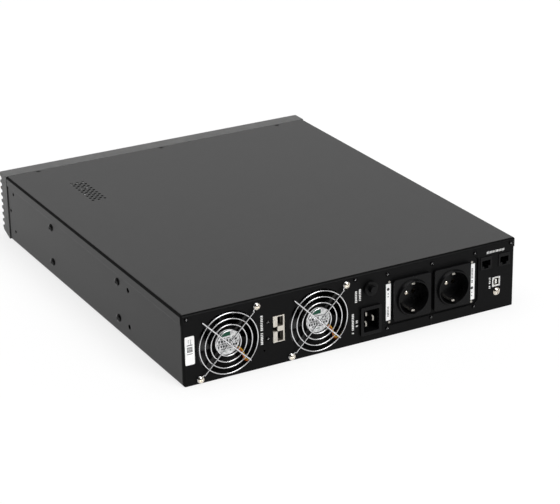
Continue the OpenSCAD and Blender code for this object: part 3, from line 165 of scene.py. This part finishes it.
rising_fade = room_fade(room_axes.outputs["Z"], backdrop_rise, backdrop_low, backdrop_high)
across_fade = room_fade(room_towards(backdrop_towards), backdrop_side, room_level, backdrop_high)
upward_fade = room_fade(room_axes.outputs["Z"], backdrop_top, backdrop_high, room_level)
softbox_fade = room_fade(room_axes.outputs["Z"], softbox_edge, room_level, softbox_level)
key_fade = room_fade(room_towards(key_towards), key_edge, room_level, key_level)
room.links.new(rising_fade.outputs["Result"], across_fade.inputs["To Max"])
room.links.new(across_fade.outputs["Result"], upward_fade.inputs["To Min"])
room.links.new(upward_fade.outputs["Result"], softbox_fade.inputs["To Min"])
room.links.new(softbox_fade.outputs["Result"], key_fade.inputs["To Min"])
room.links.new(key_fade.outputs["Result"], room_light.inputs["Strength"])

# Steel case
# The tray and the lid are folded from sheet steel and powder coated a satin near-black. The lid's side
# flanges lap over the tray's walls, and its rear edge lies over the folded top edge of the rear panel.
case_black = (0.009, 0.009, 0.009)
panel_black = (0.005, 0.005, 0.0052)
oxide_black = (0.0015, 0.0015, 0.0018)
# A darker black, painted as shade on bends and inside holes.
painted_shade_black = (0.0045, 0.0045, 0.0045)
fold_radius = 0.0014
cut_radius = 0.0004
noise_low, noise_high = 0.3, 0.7
grain_strength = 0.6
coat_cloud, coat_cloud_scale = 0.05, 14.0
coat_patch_scale = 60.0
coat_pebble_scale, coat_pebble_height = 1100.0, 0.00003


def noise_at(tree, scale, detail):
    """A noise texture on Object coordinates, its scale in features for each metre."""
    place = tree.nodes.new("ShaderNodeTexCoord")
    noise = tree.nodes.new("ShaderNodeTexNoise")
    noise.inputs["Scale"].default_value = scale
    noise.inputs["Detail"].default_value = detail
    tree.links.new(place.outputs["Object"], noise.inputs["Vector"])
    return noise


def mottle(tree, shader, colour, spread, scale):
    """Lets the base colour drift by a share of itself, over patches of 1 / scale metres."""
    drift = noise_at(tree, scale, detail=4.0)
    ramp = tree.nodes.new("ShaderNodeValToRGB")
    ramp.color_ramp.elements[0].position = noise_low
    ramp.color_ramp.elements[1].position = noise_high
    ramp.color_ramp.elements[0].color = [c * (1 - spread) for c in colour] + [1.0]
    ramp.color_ramp.elements[1].color = [min(1.0, c * (1 + spread)) for c in colour] + [1.0]
    tree.links.new(drift.outputs["Fac"], ramp.inputs["Fac"])
    tree.links.new(ramp.outputs["Color"], shader.inputs["Base Color"])


def vary_roughness(tree, shader, low, high, scale):
    """Lets the roughness run between two values, over patches of 1 / scale metres."""
    patches = noise_at(tree, scale, detail=3.0)
    span = tree.nodes.new("ShaderNodeMapRange")
    span.inputs["From Min"].default_value = noise_low
    span.inputs["From Max"].default_value = noise_high
    span.inputs["To Min"].default_value = low
    span.inputs["To Max"].default_value = high
    tree.links.new(patches.outputs["Fac"], span.inputs["Value"])
    tree.links.new(span.outputs["Result"], shader.inputs["Roughness"])


def round_and_grain(tree, shader, edge_radius, grain_scale, grain_height):
    """Softens edges by a small radius and lays a fine grain of the given height over the surface."""
    grain = noise_at(tree, grain_scale, detail=2.0)
    edge = tree.nodes.new("ShaderNodeBevel")
    edge.samples = 4
    edge.inputs["Radius"].default_value = edge_radius
    bump = tree.nodes.new("ShaderNodeBump")
    bump.inputs["Distance"].default_value = grain_height
    bump.inputs["Strength"].default_value = grain_strength
    tree.links.new(grain.outputs["Fac"], bump.inputs["Height"])
    tree.links.new(edge.outputs["Normal"], bump.inputs["Normal"])
    tree.links.new(bump.outputs["Normal"], shader.inputs["Normal"])


def powder_coat(name, colour, rough_low, rough_high, shine, edge_radius=cut_radius):
    """Satin powder coat: a pebbled skin with faint cloudy patches and softened edges."""
    material, tree, shader = new_material(name)
    shader.inputs["Specular IOR Level"].default_value = shine
    mottle(tree, shader, colour, coat_cloud, coat_cloud_scale)
    vary_roughness(tree, shader, rough_low, rough_high, coat_patch_scale)
    round_and_grain(tree, shader, edge_radius, coat_pebble_scale, coat_pebble_height)
    return material


def dress(material, *names):
    """Gives CAD nodes a finish."""
    for name in names:
        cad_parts[name].material_slots[0].material = material


# The tray's coat, which the lid's side flanges share, is less glossy than the lid's, so that the side faces
# show darker than the top: painted shade.
tray_paint = powder_coat("tray_powder_coat", case_black, 0.22, 0.235, 0.13, fold_radius)
dress(tray_paint, "bottom_tray")
dress(powder_coat("lid_powder_coat", case_black, 0.22, 0.235, 0.275, fold_radius), "top_cover")
dress(powder_coat("rear_powder_coat", panel_black, 0.36, 0.4, 0.062), "rear_panel", "socket_plate")
dress(powder_coat("black_oxide", oxide_black, 0.2, 0.26, 0.06), "panel_screws", "lid_screws")
dress(powder_coat("black_oxide_gloss", oxide_black, 0.12, 0.16, 0.25), "side_screws")
# The lid's flanges have the same gloss as the tray's walls. On its bends, and inside the holes of both, a
# darker matt black is painted as shade.
facing = 0.99
flat_enough = 0.97
edge_on = 0.3
flange_depth = 0.002
wall_depth = 0.0011
wall_low, wall_high = 0.006, 0.074
painted_shade_coat = powder_coat("painted_shade_coat", painted_shade_black, 0.5, 0.6, 0.05)
lid_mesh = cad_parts["top_cover"].data
lid_mesh.materials.append(tray_paint)
lid_mesh.materials.append(painted_shade_coat)
lid_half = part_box("top_cover")[1].x
for face in lid_mesh.polygons:
    if abs(face.normal.x) > facing and abs(face.center.x) > lid_half - flange_depth:
        face.material_index = 1
    elif abs(face.normal.z) < flat_enough:
        face.material_index = 2
tray_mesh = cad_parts["bottom_tray"].data
tray_mesh.materials.append(painted_shade_coat)
tray_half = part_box("bottom_tray")[1].x
for face in tray_mesh.polygons:
    in_sheet = tray_half - wall_depth < abs(face.center.x) < tray_half
    in_wall = in_sheet and wall_low < face.center.z < wall_high
    if in_wall and abs(face.normal.x) < edge_on:
        face.material_index = 1

# Inner steel
# The front panel, the wall plates and the battery straps are pressed from sheet and coloured near-black as
# painted shade.
# The plates back the side screws, and the straps hold the battery blocks down.
plate_cloud, plate_cloud_scale = 0.12, 90.0
plate_patch_scale = 220.0
plate_grain_height = 0.00002
small_radius = 0.0003
recess_lift = 0.0007
recess_reach = 0.0001


def plated(name, colour, rough_low, rough_high, grain_scale):
    """Plated metal with a cloudy tone and a fine grain."""
    material, tree, shader = new_material(name)
    shader.inputs["Metallic"].default_value = 1.0
    mottle(tree, shader, colour, plate_cloud, plate_cloud_scale)
    vary_roughness(tree, shader, rough_low, rough_high, plate_patch_scale)
    round_and_grain(tree, shader, small_radius, grain_scale, plate_grain_height)
    return material


# A near-black painted as shade, for inner sheet that shows through holes and vents.
inner_shade_black = powder_coat("inner_shade_black", (0.004, 0.004, 0.004), 0.5, 0.6, 0.1)
dress(inner_shade_black, "front_panel", "wall_plates", "battery_straps")
# Bright steel is laid in the cross recess of each panel screw as a painted glint.
recess_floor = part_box("rear_panel")[1].y + recess_lift
panel_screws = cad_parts["panel_screws"]
panel_screws.data.materials.append(plated("painted_glint_steel", (0.62, 0.62, 0.62), 0.2, 0.3, 900.0))
for face in panel_screws.data.polygons:
    if face.normal.y > facing and abs(face.center.y - recess_floor) < recess_reach:
        face.material_index = 1

# Front bezel, display and keys
# One moulding of textured grey plastic with deep horizontal ribs, held by four posts that push into the
# front panel. It has a tinted display window and three round keys that press on small switches.
mould_cloud, mould_cloud_scale = 0.06, 40.0
mould_patch_scale = 120.0
window_tint = (0.012, 0.015, 0.018, 1.0)
window_index = 1.49


def moulded(name, colour, rough_low, rough_high, grain_scale, grain_height, shine=0.5):
    """Moulded plastic with a spark-eroded grain."""
    material, tree, shader = new_material(name)
    shader.inputs["Specular IOR Level"].default_value = shine
    mottle(tree, shader, colour, mould_cloud, mould_cloud_scale)
    vary_roughness(tree, shader, rough_low, rough_high, mould_patch_scale)
    round_and_grain(tree, shader, small_radius, grain_scale, grain_height)
    return material


dress(moulded("bezel_plastic", (0.105, 0.105, 0.104), 0.45, 0.6, 1500.0, 0.00005), "front_bezel")
dress(moulded("key_plastic", (0.045, 0.045, 0.045), 0.35, 0.5, 1800.0, 0.00003), "key_1", "key_2", "key_3")
window_glass, window_tree, window_shader = new_material("window_glass")
window_shader.inputs["Base Color"].default_value = window_tint
window_shader.inputs["IOR"].default_value = window_index
vary_roughness(window_tree, window_shader, 0.04, 0.09, 70.0)
dress(window_glass, "display_window")
dress(moulded("display_plastic", (0.3, 0.38, 0.33), 0.3, 0.4, 600.0, 0.00002), "display_module")

# Print on the rear panel
# The panel is screen printed in white beside its ports. Rows of plain dashes stand for the words, so that
# the part carries no text. The ink lies a few hundredths of a millimetre proud of the paint.
rear_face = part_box("rear_panel")[1].y
ink_lift = 0.00004
ink_grain_scale, ink_grain_height = 900.0, 0.00002
dash_narrow, dash_wide = 0.45, 0.85
panel_stroke, panel_gaps = 0.0021, 0.14
on_rear_upright = Matrix(((0, 1, 0), (0, 0, 1), (1, 0, 0))).to_4x4()
on_rear_level = Matrix(((-1, 0, 0), (0, 0, 1), (0, 1, 0))).to_4x4()


def geometry_group(name, **inputs):
    """A geometry node group with a geometry input and output, and further inputs of given socket types."""
    group = bpy.data.node_groups.new(name, "GeometryNodeTree")
    group.interface.new_socket(name="Geometry", in_out="INPUT", socket_type="NodeSocketGeometry")
    for label, kind in inputs.items():
        group.interface.new_socket(name=label, in_out="INPUT", socket_type=kind)
    group.interface.new_socket(name="Geometry", in_out="OUTPUT", socket_type="NodeSocketGeometry")
    return group, group.nodes.new("NodeGroupInput"), group.nodes.new("NodeGroupOutput")


def grow(name, group, settings, turn, place):
    """Runs a geometry node group once, keeps the result as a plain mesh and puts it in place on the case."""
    piece = bpy.data.objects.new(name, bpy.data.meshes.new(name))
    bpy.context.collection.objects.link(piece)
    maker = piece.modifiers.new("grow", "NODES")
    maker.node_group = group
    for socket in group.interface.items_tree:
        if socket.in_out == "INPUT" and socket.name in settings:
            maker[socket.identifier] = settings[socket.name]
    grown = bpy.data.meshes.new_from_object(piece.evaluated_get(bpy.context.evaluated_depsgraph_get()))
    piece.modifiers.remove(maker)
    # The primitives in the group bring an empty material slot, which is dropped.
    if grown.materials[0] is None:
        grown.materials.pop(index=0)
    piece.data = grown
    grown.transform(Matrix.Translation(place) @ turn)
    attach(piece, "case")
    return piece


def printing_ink(name, colour, rough_low, rough_high, shine=0.5):
    """Dried printing ink, with the faint grain of a screen print."""
    return moulded(name, colour, rough_low, rough_high, ink_grain_scale, ink_grain_height, shine)


print_row, row_in, row_out = geometry_group(
    "print_row", Length="NodeSocketFloat", Height="NodeSocketFloat", Stroke="NodeSocketFloat",
    Gaps="NodeSocketFloat", Seed="NodeSocketInt", Ink="NodeSocketMaterial")
row_count = print_row.nodes.new("ShaderNodeMath")
row_count.operation = "DIVIDE"
row_step = print_row.nodes.new("ShaderNodeCombineXYZ")
row_line = print_row.nodes.new("GeometryNodeMeshLine")
row_spaces = print_row.nodes.new("FunctionNodeRandomValue")
row_spaces.data_type = "BOOLEAN"
row_words = print_row.nodes.new("GeometryNodeDeleteGeometry")
# A random node's number runs between its third and fourth inputs, to its second output. Its yes or no is
# the fourth output.
row_widths = print_row.nodes.new("FunctionNodeRandomValue")
row_widths.inputs[2].default_value = dash_narrow
row_widths.inputs[3].default_value = dash_wide
row_wide = print_row.nodes.new("ShaderNodeMath")
row_wide.operation = "MULTIPLY"
row_size = print_row.nodes.new("ShaderNodeCombineXYZ")
row_size.inputs["Z"].default_value = 1.0
row_dash = print_row.nodes.new("GeometryNodeMeshGrid")
row_dash.inputs["Vertices X"].default_value = 2
row_dash.inputs["Vertices Y"].default_value = 2
row_places = print_row.nodes.new("GeometryNodeInstanceOnPoints")
row_real = print_row.nodes.new("GeometryNodeRealizeInstances")
row_inked = print_row.nodes.new("GeometryNodeSetMaterial")
for source, target in (
    (row_in.outputs["Length"], row_count.inputs[0]),
    (row_in.outputs["Stroke"], row_count.inputs[1]),
    (row_in.outputs["Stroke"], row_step.inputs["X"]),
    (row_count.outputs["Value"], row_line.inputs["Count"]),
    (row_step.outputs["Vector"], row_line.inputs["Offset"]),
    (row_in.outputs["Gaps"], row_spaces.inputs["Probability"]),
    (row_in.outputs["Seed"], row_spaces.inputs["Seed"]),
    (row_line.outputs["Mesh"], row_words.inputs["Geometry"]),
    (row_spaces.outputs[3], row_words.inputs["Selection"]),
    (row_in.outputs["Seed"], row_widths.inputs["Seed"]),
    (row_widths.outputs[1], row_wide.inputs[0]),
    (row_in.outputs["Stroke"], row_wide.inputs[1]),
    (row_wide.outputs["Value"], row_size.inputs["X"]),
    (row_in.outputs["Height"], row_size.inputs["Y"]),
    (row_words.outputs["Geometry"], row_places.inputs["Points"]),
    (row_dash.outputs["Mesh"], row_places.inputs["Instance"]),
    (row_size.outputs["Vector"], row_places.inputs["Scale"]),
    (row_places.outputs["Instances"], row_real.inputs["Geometry"]),
    (row_real.outputs["Geometry"], row_inked.inputs["Geometry"]),
    (row_in.outputs["Ink"], row_inked.inputs["Material"]),
    (row_inked.outputs["Geometry"], row_out.inputs["Geometry"]),
):
    print_row.links.new(source, target)

white_ink = printing_ink("white_ink", (0.72, 0.72, 0.71), 0.5, 0.65)
grey_ink = printing_ink("grey_ink", (0.2, 0.2, 0.21), 0.5, 0.65)
black_ink = printing_ink("black_ink", (0.012, 0.012, 0.012), 0.45, 0.6)
for row_name, row_x, row_z, row_length, row_height, row_turn, row_seed in (
    ("print_battery", 0.1203, 0.0292, 0.037, 0.0029, on_rear_upright, 3),
    ("print_breaker_1", -0.0011, 0.0522, 0.0185, 0.0027, on_rear_upright, 5),
    ("print_breaker_2", -0.0062, 0.0535, 0.0175, 0.0027, on_rear_upright, 8),
    ("print_inlet_1", 0.0031, 0.0122, 0.0275, 0.0027, on_rear_upright, 11),
    ("print_inlet_2", -0.002, 0.0222, 0.0115, 0.0027, on_rear_upright, 13),
    ("print_bus", -0.1839, 0.0286, 0.0155, 0.0023, on_rear_upright, 17),
    ("print_jacks", -0.1795, 0.0744, 0.026, 0.0027, on_rear_level, 19),
):
    grow(row_name, print_row,
         {"Length": row_length, "Height": row_height, "Stroke": panel_stroke, "Gaps": panel_gaps,
          "Seed": row_seed, "Ink": white_ink},
         row_turn, (row_x, rear_face + ink_lift, row_z))

# Fans
# Two black axial fans stand on the tray's floor against the rear panel. The frame carries a fixed hub on
# four struts, and the rotor turns on a shaft in the hub's tube.
fan_black = moulded("fan_plastic", (0.006, 0.006, 0.0063), 0.4, 0.55, 1400.0, 0.00004, 0.3)
dress(fan_black, "fan_frame_1", "fan_frame_2", "fan_rotor_1", "fan_rotor_2")
fan_centres = [sum(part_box(name), Vector()) / 2 for name in ("fan_frame_1", "fan_frame_2")]
winding, winding_tree, winding_shader = new_material("enamelled_winding")
winding_shader.inputs["Metallic"].default_value = 0.7
mottle(winding_tree, winding_shader, (0.38, 0.16, 0.06), 0.2, 500.0)
round_and_grain(winding_tree, winding_shader, small_radius, 1600.0, 0.0001)
dress(winding, "fan_stators", "chokes")

# Impellers
# Each rotor is one black moulding: a cup over the motor's magnets, on a steel shaft, with seven cambered
# blades that lean forward and flatten towards their tips.
blade_count = 7
blade_front, blade_depth = 0.009, 0.013
blade_root, blade_tip = 0.0164, 0.0369
root_span, tip_span = math.radians(45), math.radians(35)
tip_lean = math.radians(9)
blade_camber = 1.25
blade_thickness = 0.0014
merge_distance = 1e-6
sharp_angle = math.radians(35)
cup_profile = (
    (0.0, 0.0235), (0.0145, 0.0235), (0.0164, 0.023), (0.017, 0.0219), (0.017, 0.008), (0.0166, 0.0075),
    (0.0153, 0.0075), (0.015, 0.0078), (0.015, 0.0215), (0.0015, 0.0215), (0.0015, 0.0036), (0.0, 0.0035),
)
cup_steps = 64
blade_steps = 8
fan_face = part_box("fan_frame_1")[1].y


def impeller(name, centre):
    """A rotor's mesh: the cup turned about the shaft, and the blades as thickened curved sheets."""
    shape = bmesh.new()

    def corner(radius, angle, depth):
        place = (centre.x + radius * math.cos(angle), fan_face - depth, centre.z + radius * math.sin(angle))
        return shape.verts.new(place)

    def sheet(rows):
        faces = []
        for row, after in zip(rows, rows[1:]):
            for i in range(len(row) - 1):
                faces.append(shape.faces.new((row[i], row[i + 1], after[i + 1], after[i])))
        return faces

    turns = [math.tau * k / cup_steps for k in range(cup_steps + 1)]
    sheet([[corner(radius, turn, depth) for turn in turns] for radius, depth in cup_profile])
    for blade in range(blade_count):
        rows = []
        for i in range(blade_steps + 1):
            out = i / blade_steps
            span = root_span + (tip_span - root_span) * out
            middle = math.tau * blade / blade_count + tip_lean * out * out
            radius = blade_root + (blade_tip - blade_root) * out
            shares = [k / blade_steps for k in range(blade_steps + 1)]
            rows.append([])
            for share in shares:
                depth = blade_front + blade_depth * share ** blade_camber
                rows[-1].append(corner(radius, middle + span * (share - 0.5), depth))
        bmesh.ops.solidify(shape, geom=sheet(rows), thickness=blade_thickness)
    bmesh.ops.remove_doubles(shape, verts=shape.verts, dist=merge_distance)
    bmesh.ops.recalc_face_normals(shape, faces=shape.faces)
    mesh = bpy.data.meshes.new(name)
    shape.to_mesh(mesh)
    shape.free()
    mesh.shade_smooth()
    mesh.set_sharp_from_angle(angle=sharp_angle)
    mesh.materials.append(fan_black)
    piece = bpy.data.objects.new(name, mesh)
    bpy.context.collection.objects.link(piece)
    return piece


for fan, rotor_body in enumerate(("outer_rotor", "inner_rotor"), 1):
    rotor = impeller(f"impeller_{fan}", fan_centres[fan - 1])
    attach(rotor, rotor_body)
    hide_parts(f"fan_rotor_{fan}")

# Fan labels and leads
# A round foil label covers each hub, printed with a green band and small lines, here plain dashes. Two
# insulated leads, one yellow and one orange, lie on one strut and leave the frame by a notch.
band_radius = 0.0142
band_angles = [math.radians(46 + 5 * step) for step in range(13)]
band_foot = [(-0.0037, 0.0074), (0.0025, 0.0073), (0.0085, 0.0072)]
label_gaps = 0.1
seeds_each_fan = 20
label_foil, foil_tree, foil_shader = new_material("label_foil")
foil_shader.inputs["Metallic"].default_value = 0.3
mottle(foil_tree, foil_shader, (0.74, 0.745, 0.75), 0.34, 330.0)
vary_roughness(foil_tree, foil_shader, 0.25, 0.4, 300.0)
round_and_grain(foil_tree, foil_shader, 0.0002, 500.0, 0.0001)
dress(label_foil, "fan_labels")
label_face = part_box("fan_labels")[1].y
green_ink = printing_ink("green_ink", (0.002, 0.07, 0.036), 0.4, 0.5, 0.3)
label_ink = printing_ink("label_ink", (0.035, 0.035, 0.038), 0.4, 0.5, 0.3)


def printed_patch(name, outline, ink):
    """A flat patch of ink on a face that looks along +Y, from its outline of points."""
    mesh = bpy.data.meshes.new(name)
    mesh.from_pydata(outline, [], [list(range(len(outline)))])
    mesh.materials.append(ink)
    patch = bpy.data.objects.new(name, mesh)
    bpy.context.collection.objects.link(patch)
    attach(patch, "case")


for fan, centre in enumerate(fan_centres, 1):
    # The band runs along the label's upper edge, with a lower side that is nearly straight.
    band = [(band_radius * math.cos(angle), band_radius * math.sin(angle)) for angle in band_angles]
    band = [(centre.x + x, label_face + ink_lift, centre.z + z) for x, z in band + band_foot]
    printed_patch(f"label_band_{fan}", band, green_ink)
    for line, (line_z, line_length, line_height, line_stroke, line_ink) in enumerate((
        (0.0049, 0.019, 0.0014, 0.0016, label_ink),
        (0.0019, 0.0245, 0.003, 0.0034, label_ink),
        (-0.0013, 0.0265, 0.0018, 0.002, label_ink),
        (-0.0043, 0.025, 0.0028, 0.0031, label_ink),
        (-0.0074, 0.021, 0.0016, 0.0018, label_ink),
        (-0.0102, 0.0105, 0.0013, 0.0024, green_ink),
    ), 1):
        line_start = line_stroke * (int(line_length / line_stroke) - 1) / 2
        grow(f"label_print_{fan}_{line}", print_row,
             {"Length": line_length, "Height": line_height, "Stroke": line_stroke, "Gaps": label_gaps,
              "Seed": seeds_each_fan * fan + line, "Ink": line_ink},
             on_rear_level, (centre.x + line_start, label_face + ink_lift, centre.z + line_z))

lead_yellow = moulded("lead_yellow", (0.8, 0.42, 0.025), 0.35, 0.45, 900.0, 0.00002)
lead_orange = moulded("lead_orange", (0.55, 0.13, 0.018), 0.35, 0.45, 900.0, 0.00002)
# The leads are told apart by following each strand over a merged copy of the mesh.
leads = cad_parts["fan_leads"]
dress(lead_yellow, "fan_leads")
leads.data.materials.append(lead_orange)
lead_shape = bmesh.new()
lead_shape.from_mesh(leads.data)
bmesh.ops.remove_doubles(lead_shape, verts=lead_shape.verts, dist=merge_distance)
unseen = set(lead_shape.faces)
strands = []
while unseen:
    strand = [unseen.pop()]
    for face in strand:
        for neighbour in {near for corner in face.verts for near in corner.link_faces} & unseen:
            unseen.discard(neighbour)
            strand.append(neighbour)
    strand_reach = min(corner.co.x for face in strand for corner in face.verts)
    strands.append((strand_reach, [face.index for face in strand]))
lead_shape.free()
# Of a fan's two strands, the one that reaches further towards -X is orange.
for _, faces in sorted(strands)[::2]:
    for index in faces:
        leads.data.polygons[index].material_index = 1

# Fan guards and nickel fasteners
# The guards are rings and spokes of nickel plated wire, welded where they cross. Two pan head screws
# hold each one, and the earth terminal and the sockets have screws of the same finish.
guard_lift = 0.0025
guard_nickel = plated("guard_nickel", (0.76, 0.76, 0.77), 0.2, 0.26, 700.0)
dress(guard_nickel, "fan_guard_1", "fan_guard_2", "usb_shell")

guard_welds, weld_in, weld_out = geometry_group(
    "guard_welds", Rings="NodeSocketInt", Outer="NodeSocketFloat", Step="NodeSocketFloat",
    Size="NodeSocketFloat", Metal="NodeSocketMaterial")
weld_first = guard_welds.nodes.new("ShaderNodeCombineXYZ")
weld_inward = guard_welds.nodes.new("ShaderNodeMath")
weld_inward.operation = "MULTIPLY"
weld_inward.inputs[1].default_value = -1.0
weld_step = guard_welds.nodes.new("ShaderNodeCombineXYZ")
weld_line = guard_welds.nodes.new("GeometryNodeMeshLine")
weld_drop = guard_welds.nodes.new("GeometryNodeMeshUVSphere")
weld_drop.inputs["Segments"].default_value = 12
weld_drop.inputs["Rings"].default_value = 8
weld_spoke = guard_welds.nodes.new("GeometryNodeInstanceOnPoints")
weld_spokes = guard_welds.nodes.new("GeometryNodeMeshLine")
weld_spokes.inputs["Count"].default_value = 4
weld_spokes.inputs["Offset"].default_value = (0.0, 0.0, 0.0)
weld_index = guard_welds.nodes.new("GeometryNodeInputIndex")
weld_angle = guard_welds.nodes.new("ShaderNodeMath")
weld_angle.operation = "MULTIPLY_ADD"
weld_angle.inputs[1].default_value = math.pi / 2
weld_angle.inputs[2].default_value = math.pi / 4
weld_turn = guard_welds.nodes.new("ShaderNodeCombineXYZ")
weld_cross = guard_welds.nodes.new("GeometryNodeInstanceOnPoints")
weld_real = guard_welds.nodes.new("GeometryNodeRealizeInstances")
weld_metal = guard_welds.nodes.new("GeometryNodeSetMaterial")
for source, target in (
    (weld_in.outputs["Outer"], weld_first.inputs["X"]),
    (weld_in.outputs["Step"], weld_inward.inputs[0]),
    (weld_inward.outputs["Value"], weld_step.inputs["X"]),
    (weld_in.outputs["Rings"], weld_line.inputs["Count"]),
    (weld_first.outputs["Vector"], weld_line.inputs["Start Location"]),
    (weld_step.outputs["Vector"], weld_line.inputs["Offset"]),
    (weld_in.outputs["Size"], weld_drop.inputs["Radius"]),
    (weld_line.outputs["Mesh"], weld_spoke.inputs["Points"]),
    (weld_drop.outputs["Mesh"], weld_spoke.inputs["Instance"]),
    (weld_spokes.outputs["Mesh"], weld_cross.inputs["Points"]),
    (weld_spoke.outputs["Instances"], weld_cross.inputs["Instance"]),
    (weld_index.outputs["Index"], weld_angle.inputs[0]),
    (weld_angle.outputs["Value"], weld_turn.inputs["Z"]),
    (weld_turn.outputs["Vector"], weld_cross.inputs["Rotation"]),
    (weld_cross.outputs["Instances"], weld_real.inputs["Geometry"]),
    (weld_real.outputs["Geometry"], weld_metal.inputs["Geometry"]),
    (weld_in.outputs["Metal"], weld_metal.inputs["Material"]),
    (weld_metal.outputs["Geometry"], weld_out.inputs["Geometry"]),
):
    guard_welds.links.new(source, target)
weld_sizes = {"Rings": 4, "Outer": 0.03621, "Step": 0.00706, "Size": 0.00105, "Metal": guard_nickel}
for fan, centre in enumerate(fan_centres, 1):
    welds = grow(f"guard_welds_{fan}", guard_welds, weld_sizes,
                 on_rear_level, (centre.x, rear_face + guard_lift, centre.z))
    welds.data.shade_smooth()

screw_nickel = plated("screw_nickel", (0.74, 0.69, 0.61), 0.11, 0.17, 800.0)
dress(screw_nickel, "guard_screws", "earth_screw", "socket_screws")
spring_nickel = plated("spring_nickel", (0.42, 0.4, 0.36), 0.24, 0.34, 800.0)
dress(spring_nickel, "earth_clips", "inlet_blades", "plate_rivets")

# Sockets, inlet and breaker
# Black mouldings: two round-well sockets on their plate, the mains inlet, the breaker with its collar, and
# two jacks. They stand in cut-outs of the panel or of the plate behind it. The contacts of the sockets and
# the jacks are brass.
socket_black = moulded("socket_plastic", (0.004, 0.004, 0.0043), 0.2, 0.28, 1600.0, 0.00003, 0.13)
dress(socket_black, "socket_1", "socket_2", "inlet_body", "breaker_body", "breaker_collar", "breaker_button")
dress(socket_black, "jack_1", "jack_2")
dress(plated("contact_brass", (0.62, 0.46, 0.2), 0.25, 0.35, 700.0), "jack_contacts", "standoffs")
# The sockets' contacts, deep in their pin holes, are given a much darker brass as painted shade.
dress(plated("painted_shade_brass", (0.12, 0.09, 0.05), 0.4, 0.5, 700.0), "socket_contacts")

# Battery port and bus port
# The two-pole battery connector is a warm light grey moulding, held by two black screws beside it. The bus
# port has a white insert in its nickel plated shell.
dress(moulded("port_plastic", (0.58, 0.545, 0.485), 0.4, 0.55, 1300.0, 0.00004), "battery_port")
dress(plated("tinned_contact", (0.6, 0.6, 0.58), 0.3, 0.4, 700.0), "battery_terminals")
# The port's contacts, deep in its mouths, are given a dark tin as painted shade.
dress(plated("painted_shade_tin", (0.16, 0.15, 0.13), 0.4, 0.5, 700.0), "port_contacts")
dress(moulded("bus_insert", (0.74, 0.73, 0.69), 0.35, 0.45, 900.0, 0.00002), "usb_insert")
# Inside their mouths both mouldings are given a darker colour as painted shade.
mouth_painted_shade = moulded("mouth_painted_shade", (0.1, 0.088, 0.072), 0.5, 0.65, 1300.0, 0.00004)
for port_name, mouth_depth in (("battery_port", 0.0012), ("usb_insert", 0.001)):
    port_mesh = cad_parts[port_name].data
    port_mesh.materials.append(mouth_painted_shade)
    mouth_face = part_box(port_name)[1].y - mouth_depth
    for face in port_mesh.polygons:
        face.material_index = int(face.center.y < mouth_face)

# Stickers
# White paper labels, one on the panel's edge and one beside each socket. Plain bars, dashes and dots stand
# for what is printed on them.
dress(moulded("sticker_paper", (0.92, 0.92, 0.91), 0.6, 0.75, 1200.0, 0.00002), "stickers")
sticker_thickness = 0.0002
sticker_gaps = 0.1
dot_sides = 20
strip_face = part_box("stickers")[0].y + sticker_thickness
rating_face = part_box("stickers")[1].y
for row_name, row_x, row_y, row_z, row_length, row_height, row_stroke, row_seed, row_ink in (
    ("rating_bars", 0.2094, rating_face, 0.0385, 0.0117, 0.0068, 0.0013, 2, black_ink),
    ("rating_line_1", 0.2108, rating_face, 0.0495, 0.007, 0.0012, 0.0014, 31, grey_ink),
    ("rating_line_2", 0.208, rating_face, 0.0495, 0.007, 0.0012, 0.0014, 33, grey_ink),
    ("strip_line_1", -0.0446, strip_face, 0.0222, 0.0168, 0.0022, 0.0019, 35, grey_ink),
    ("strip_line_2", -0.1598, strip_face, 0.0411, 0.0197, 0.0022, 0.0019, 37, grey_ink),
):
    grow(row_name, print_row,
         {"Length": row_length, "Height": row_height, "Stroke": row_stroke, "Gaps": sticker_gaps,
          "Seed": row_seed, "Ink": row_ink},
         on_rear_upright, (row_x, row_y + ink_lift, row_z))
for dot_name, dot_x, dot_z, dot_r, dot_ink in (
    ("strip_dot_1", -0.0446, 0.0578, 0.0018, black_ink),
    ("strip_dot_2", -0.0446, 0.0521, 0.0008, grey_ink),
    ("strip_dot_3", -0.0446, 0.0486, 0.0008, grey_ink),
    ("strip_dot_4", -0.1598, 0.0339, 0.0018, black_ink),
    ("strip_dot_5", -0.1598, 0.028, 0.0008, grey_ink),
    ("strip_dot_6", -0.1598, 0.0242, 0.0008, grey_ink),
):
    dot_angles = [math.tau * side / dot_sides for side in range(dot_sides)]
    dot_outline = [
        (dot_x + dot_r * math.cos(angle), strip_face + ink_lift, dot_z + dot_r * math.sin(angle))
        for angle in dot_angles
    ]
    printed_patch(dot_name, dot_outline, dot_ink)

# Inside the case
# Green boards, three of them on brass stand-offs, strapped battery blocks and the power parts, in plain
# moulded, plated or varnished finishes. Little of them is seen, through the fans and the vents.
dress(moulded("board_mask", (0.006, 0.045, 0.018), 0.4, 0.5, 400.0, 0.00003, 0.2),
      "main_board", "charger_board", "filter_board", "interface_board", "display_board")
dress(moulded("battery_case", (0.023, 0.026, 0.033), 0.45, 0.6, 900.0, 0.00005), "battery_blocks")
dress(plated("sink_alloy", (0.5, 0.51, 0.53), 0.35, 0.5, 600.0), "heat_sinks")
dress(moulded("sleeve_plastic", (0.02, 0.03, 0.045), 0.25, 0.4, 700.0, 0.00002), "bus_capacitors", "relays")
dress(moulded("core_varnish", (0.06, 0.05, 0.04), 0.35, 0.5, 500.0, 0.00005), "transformer")
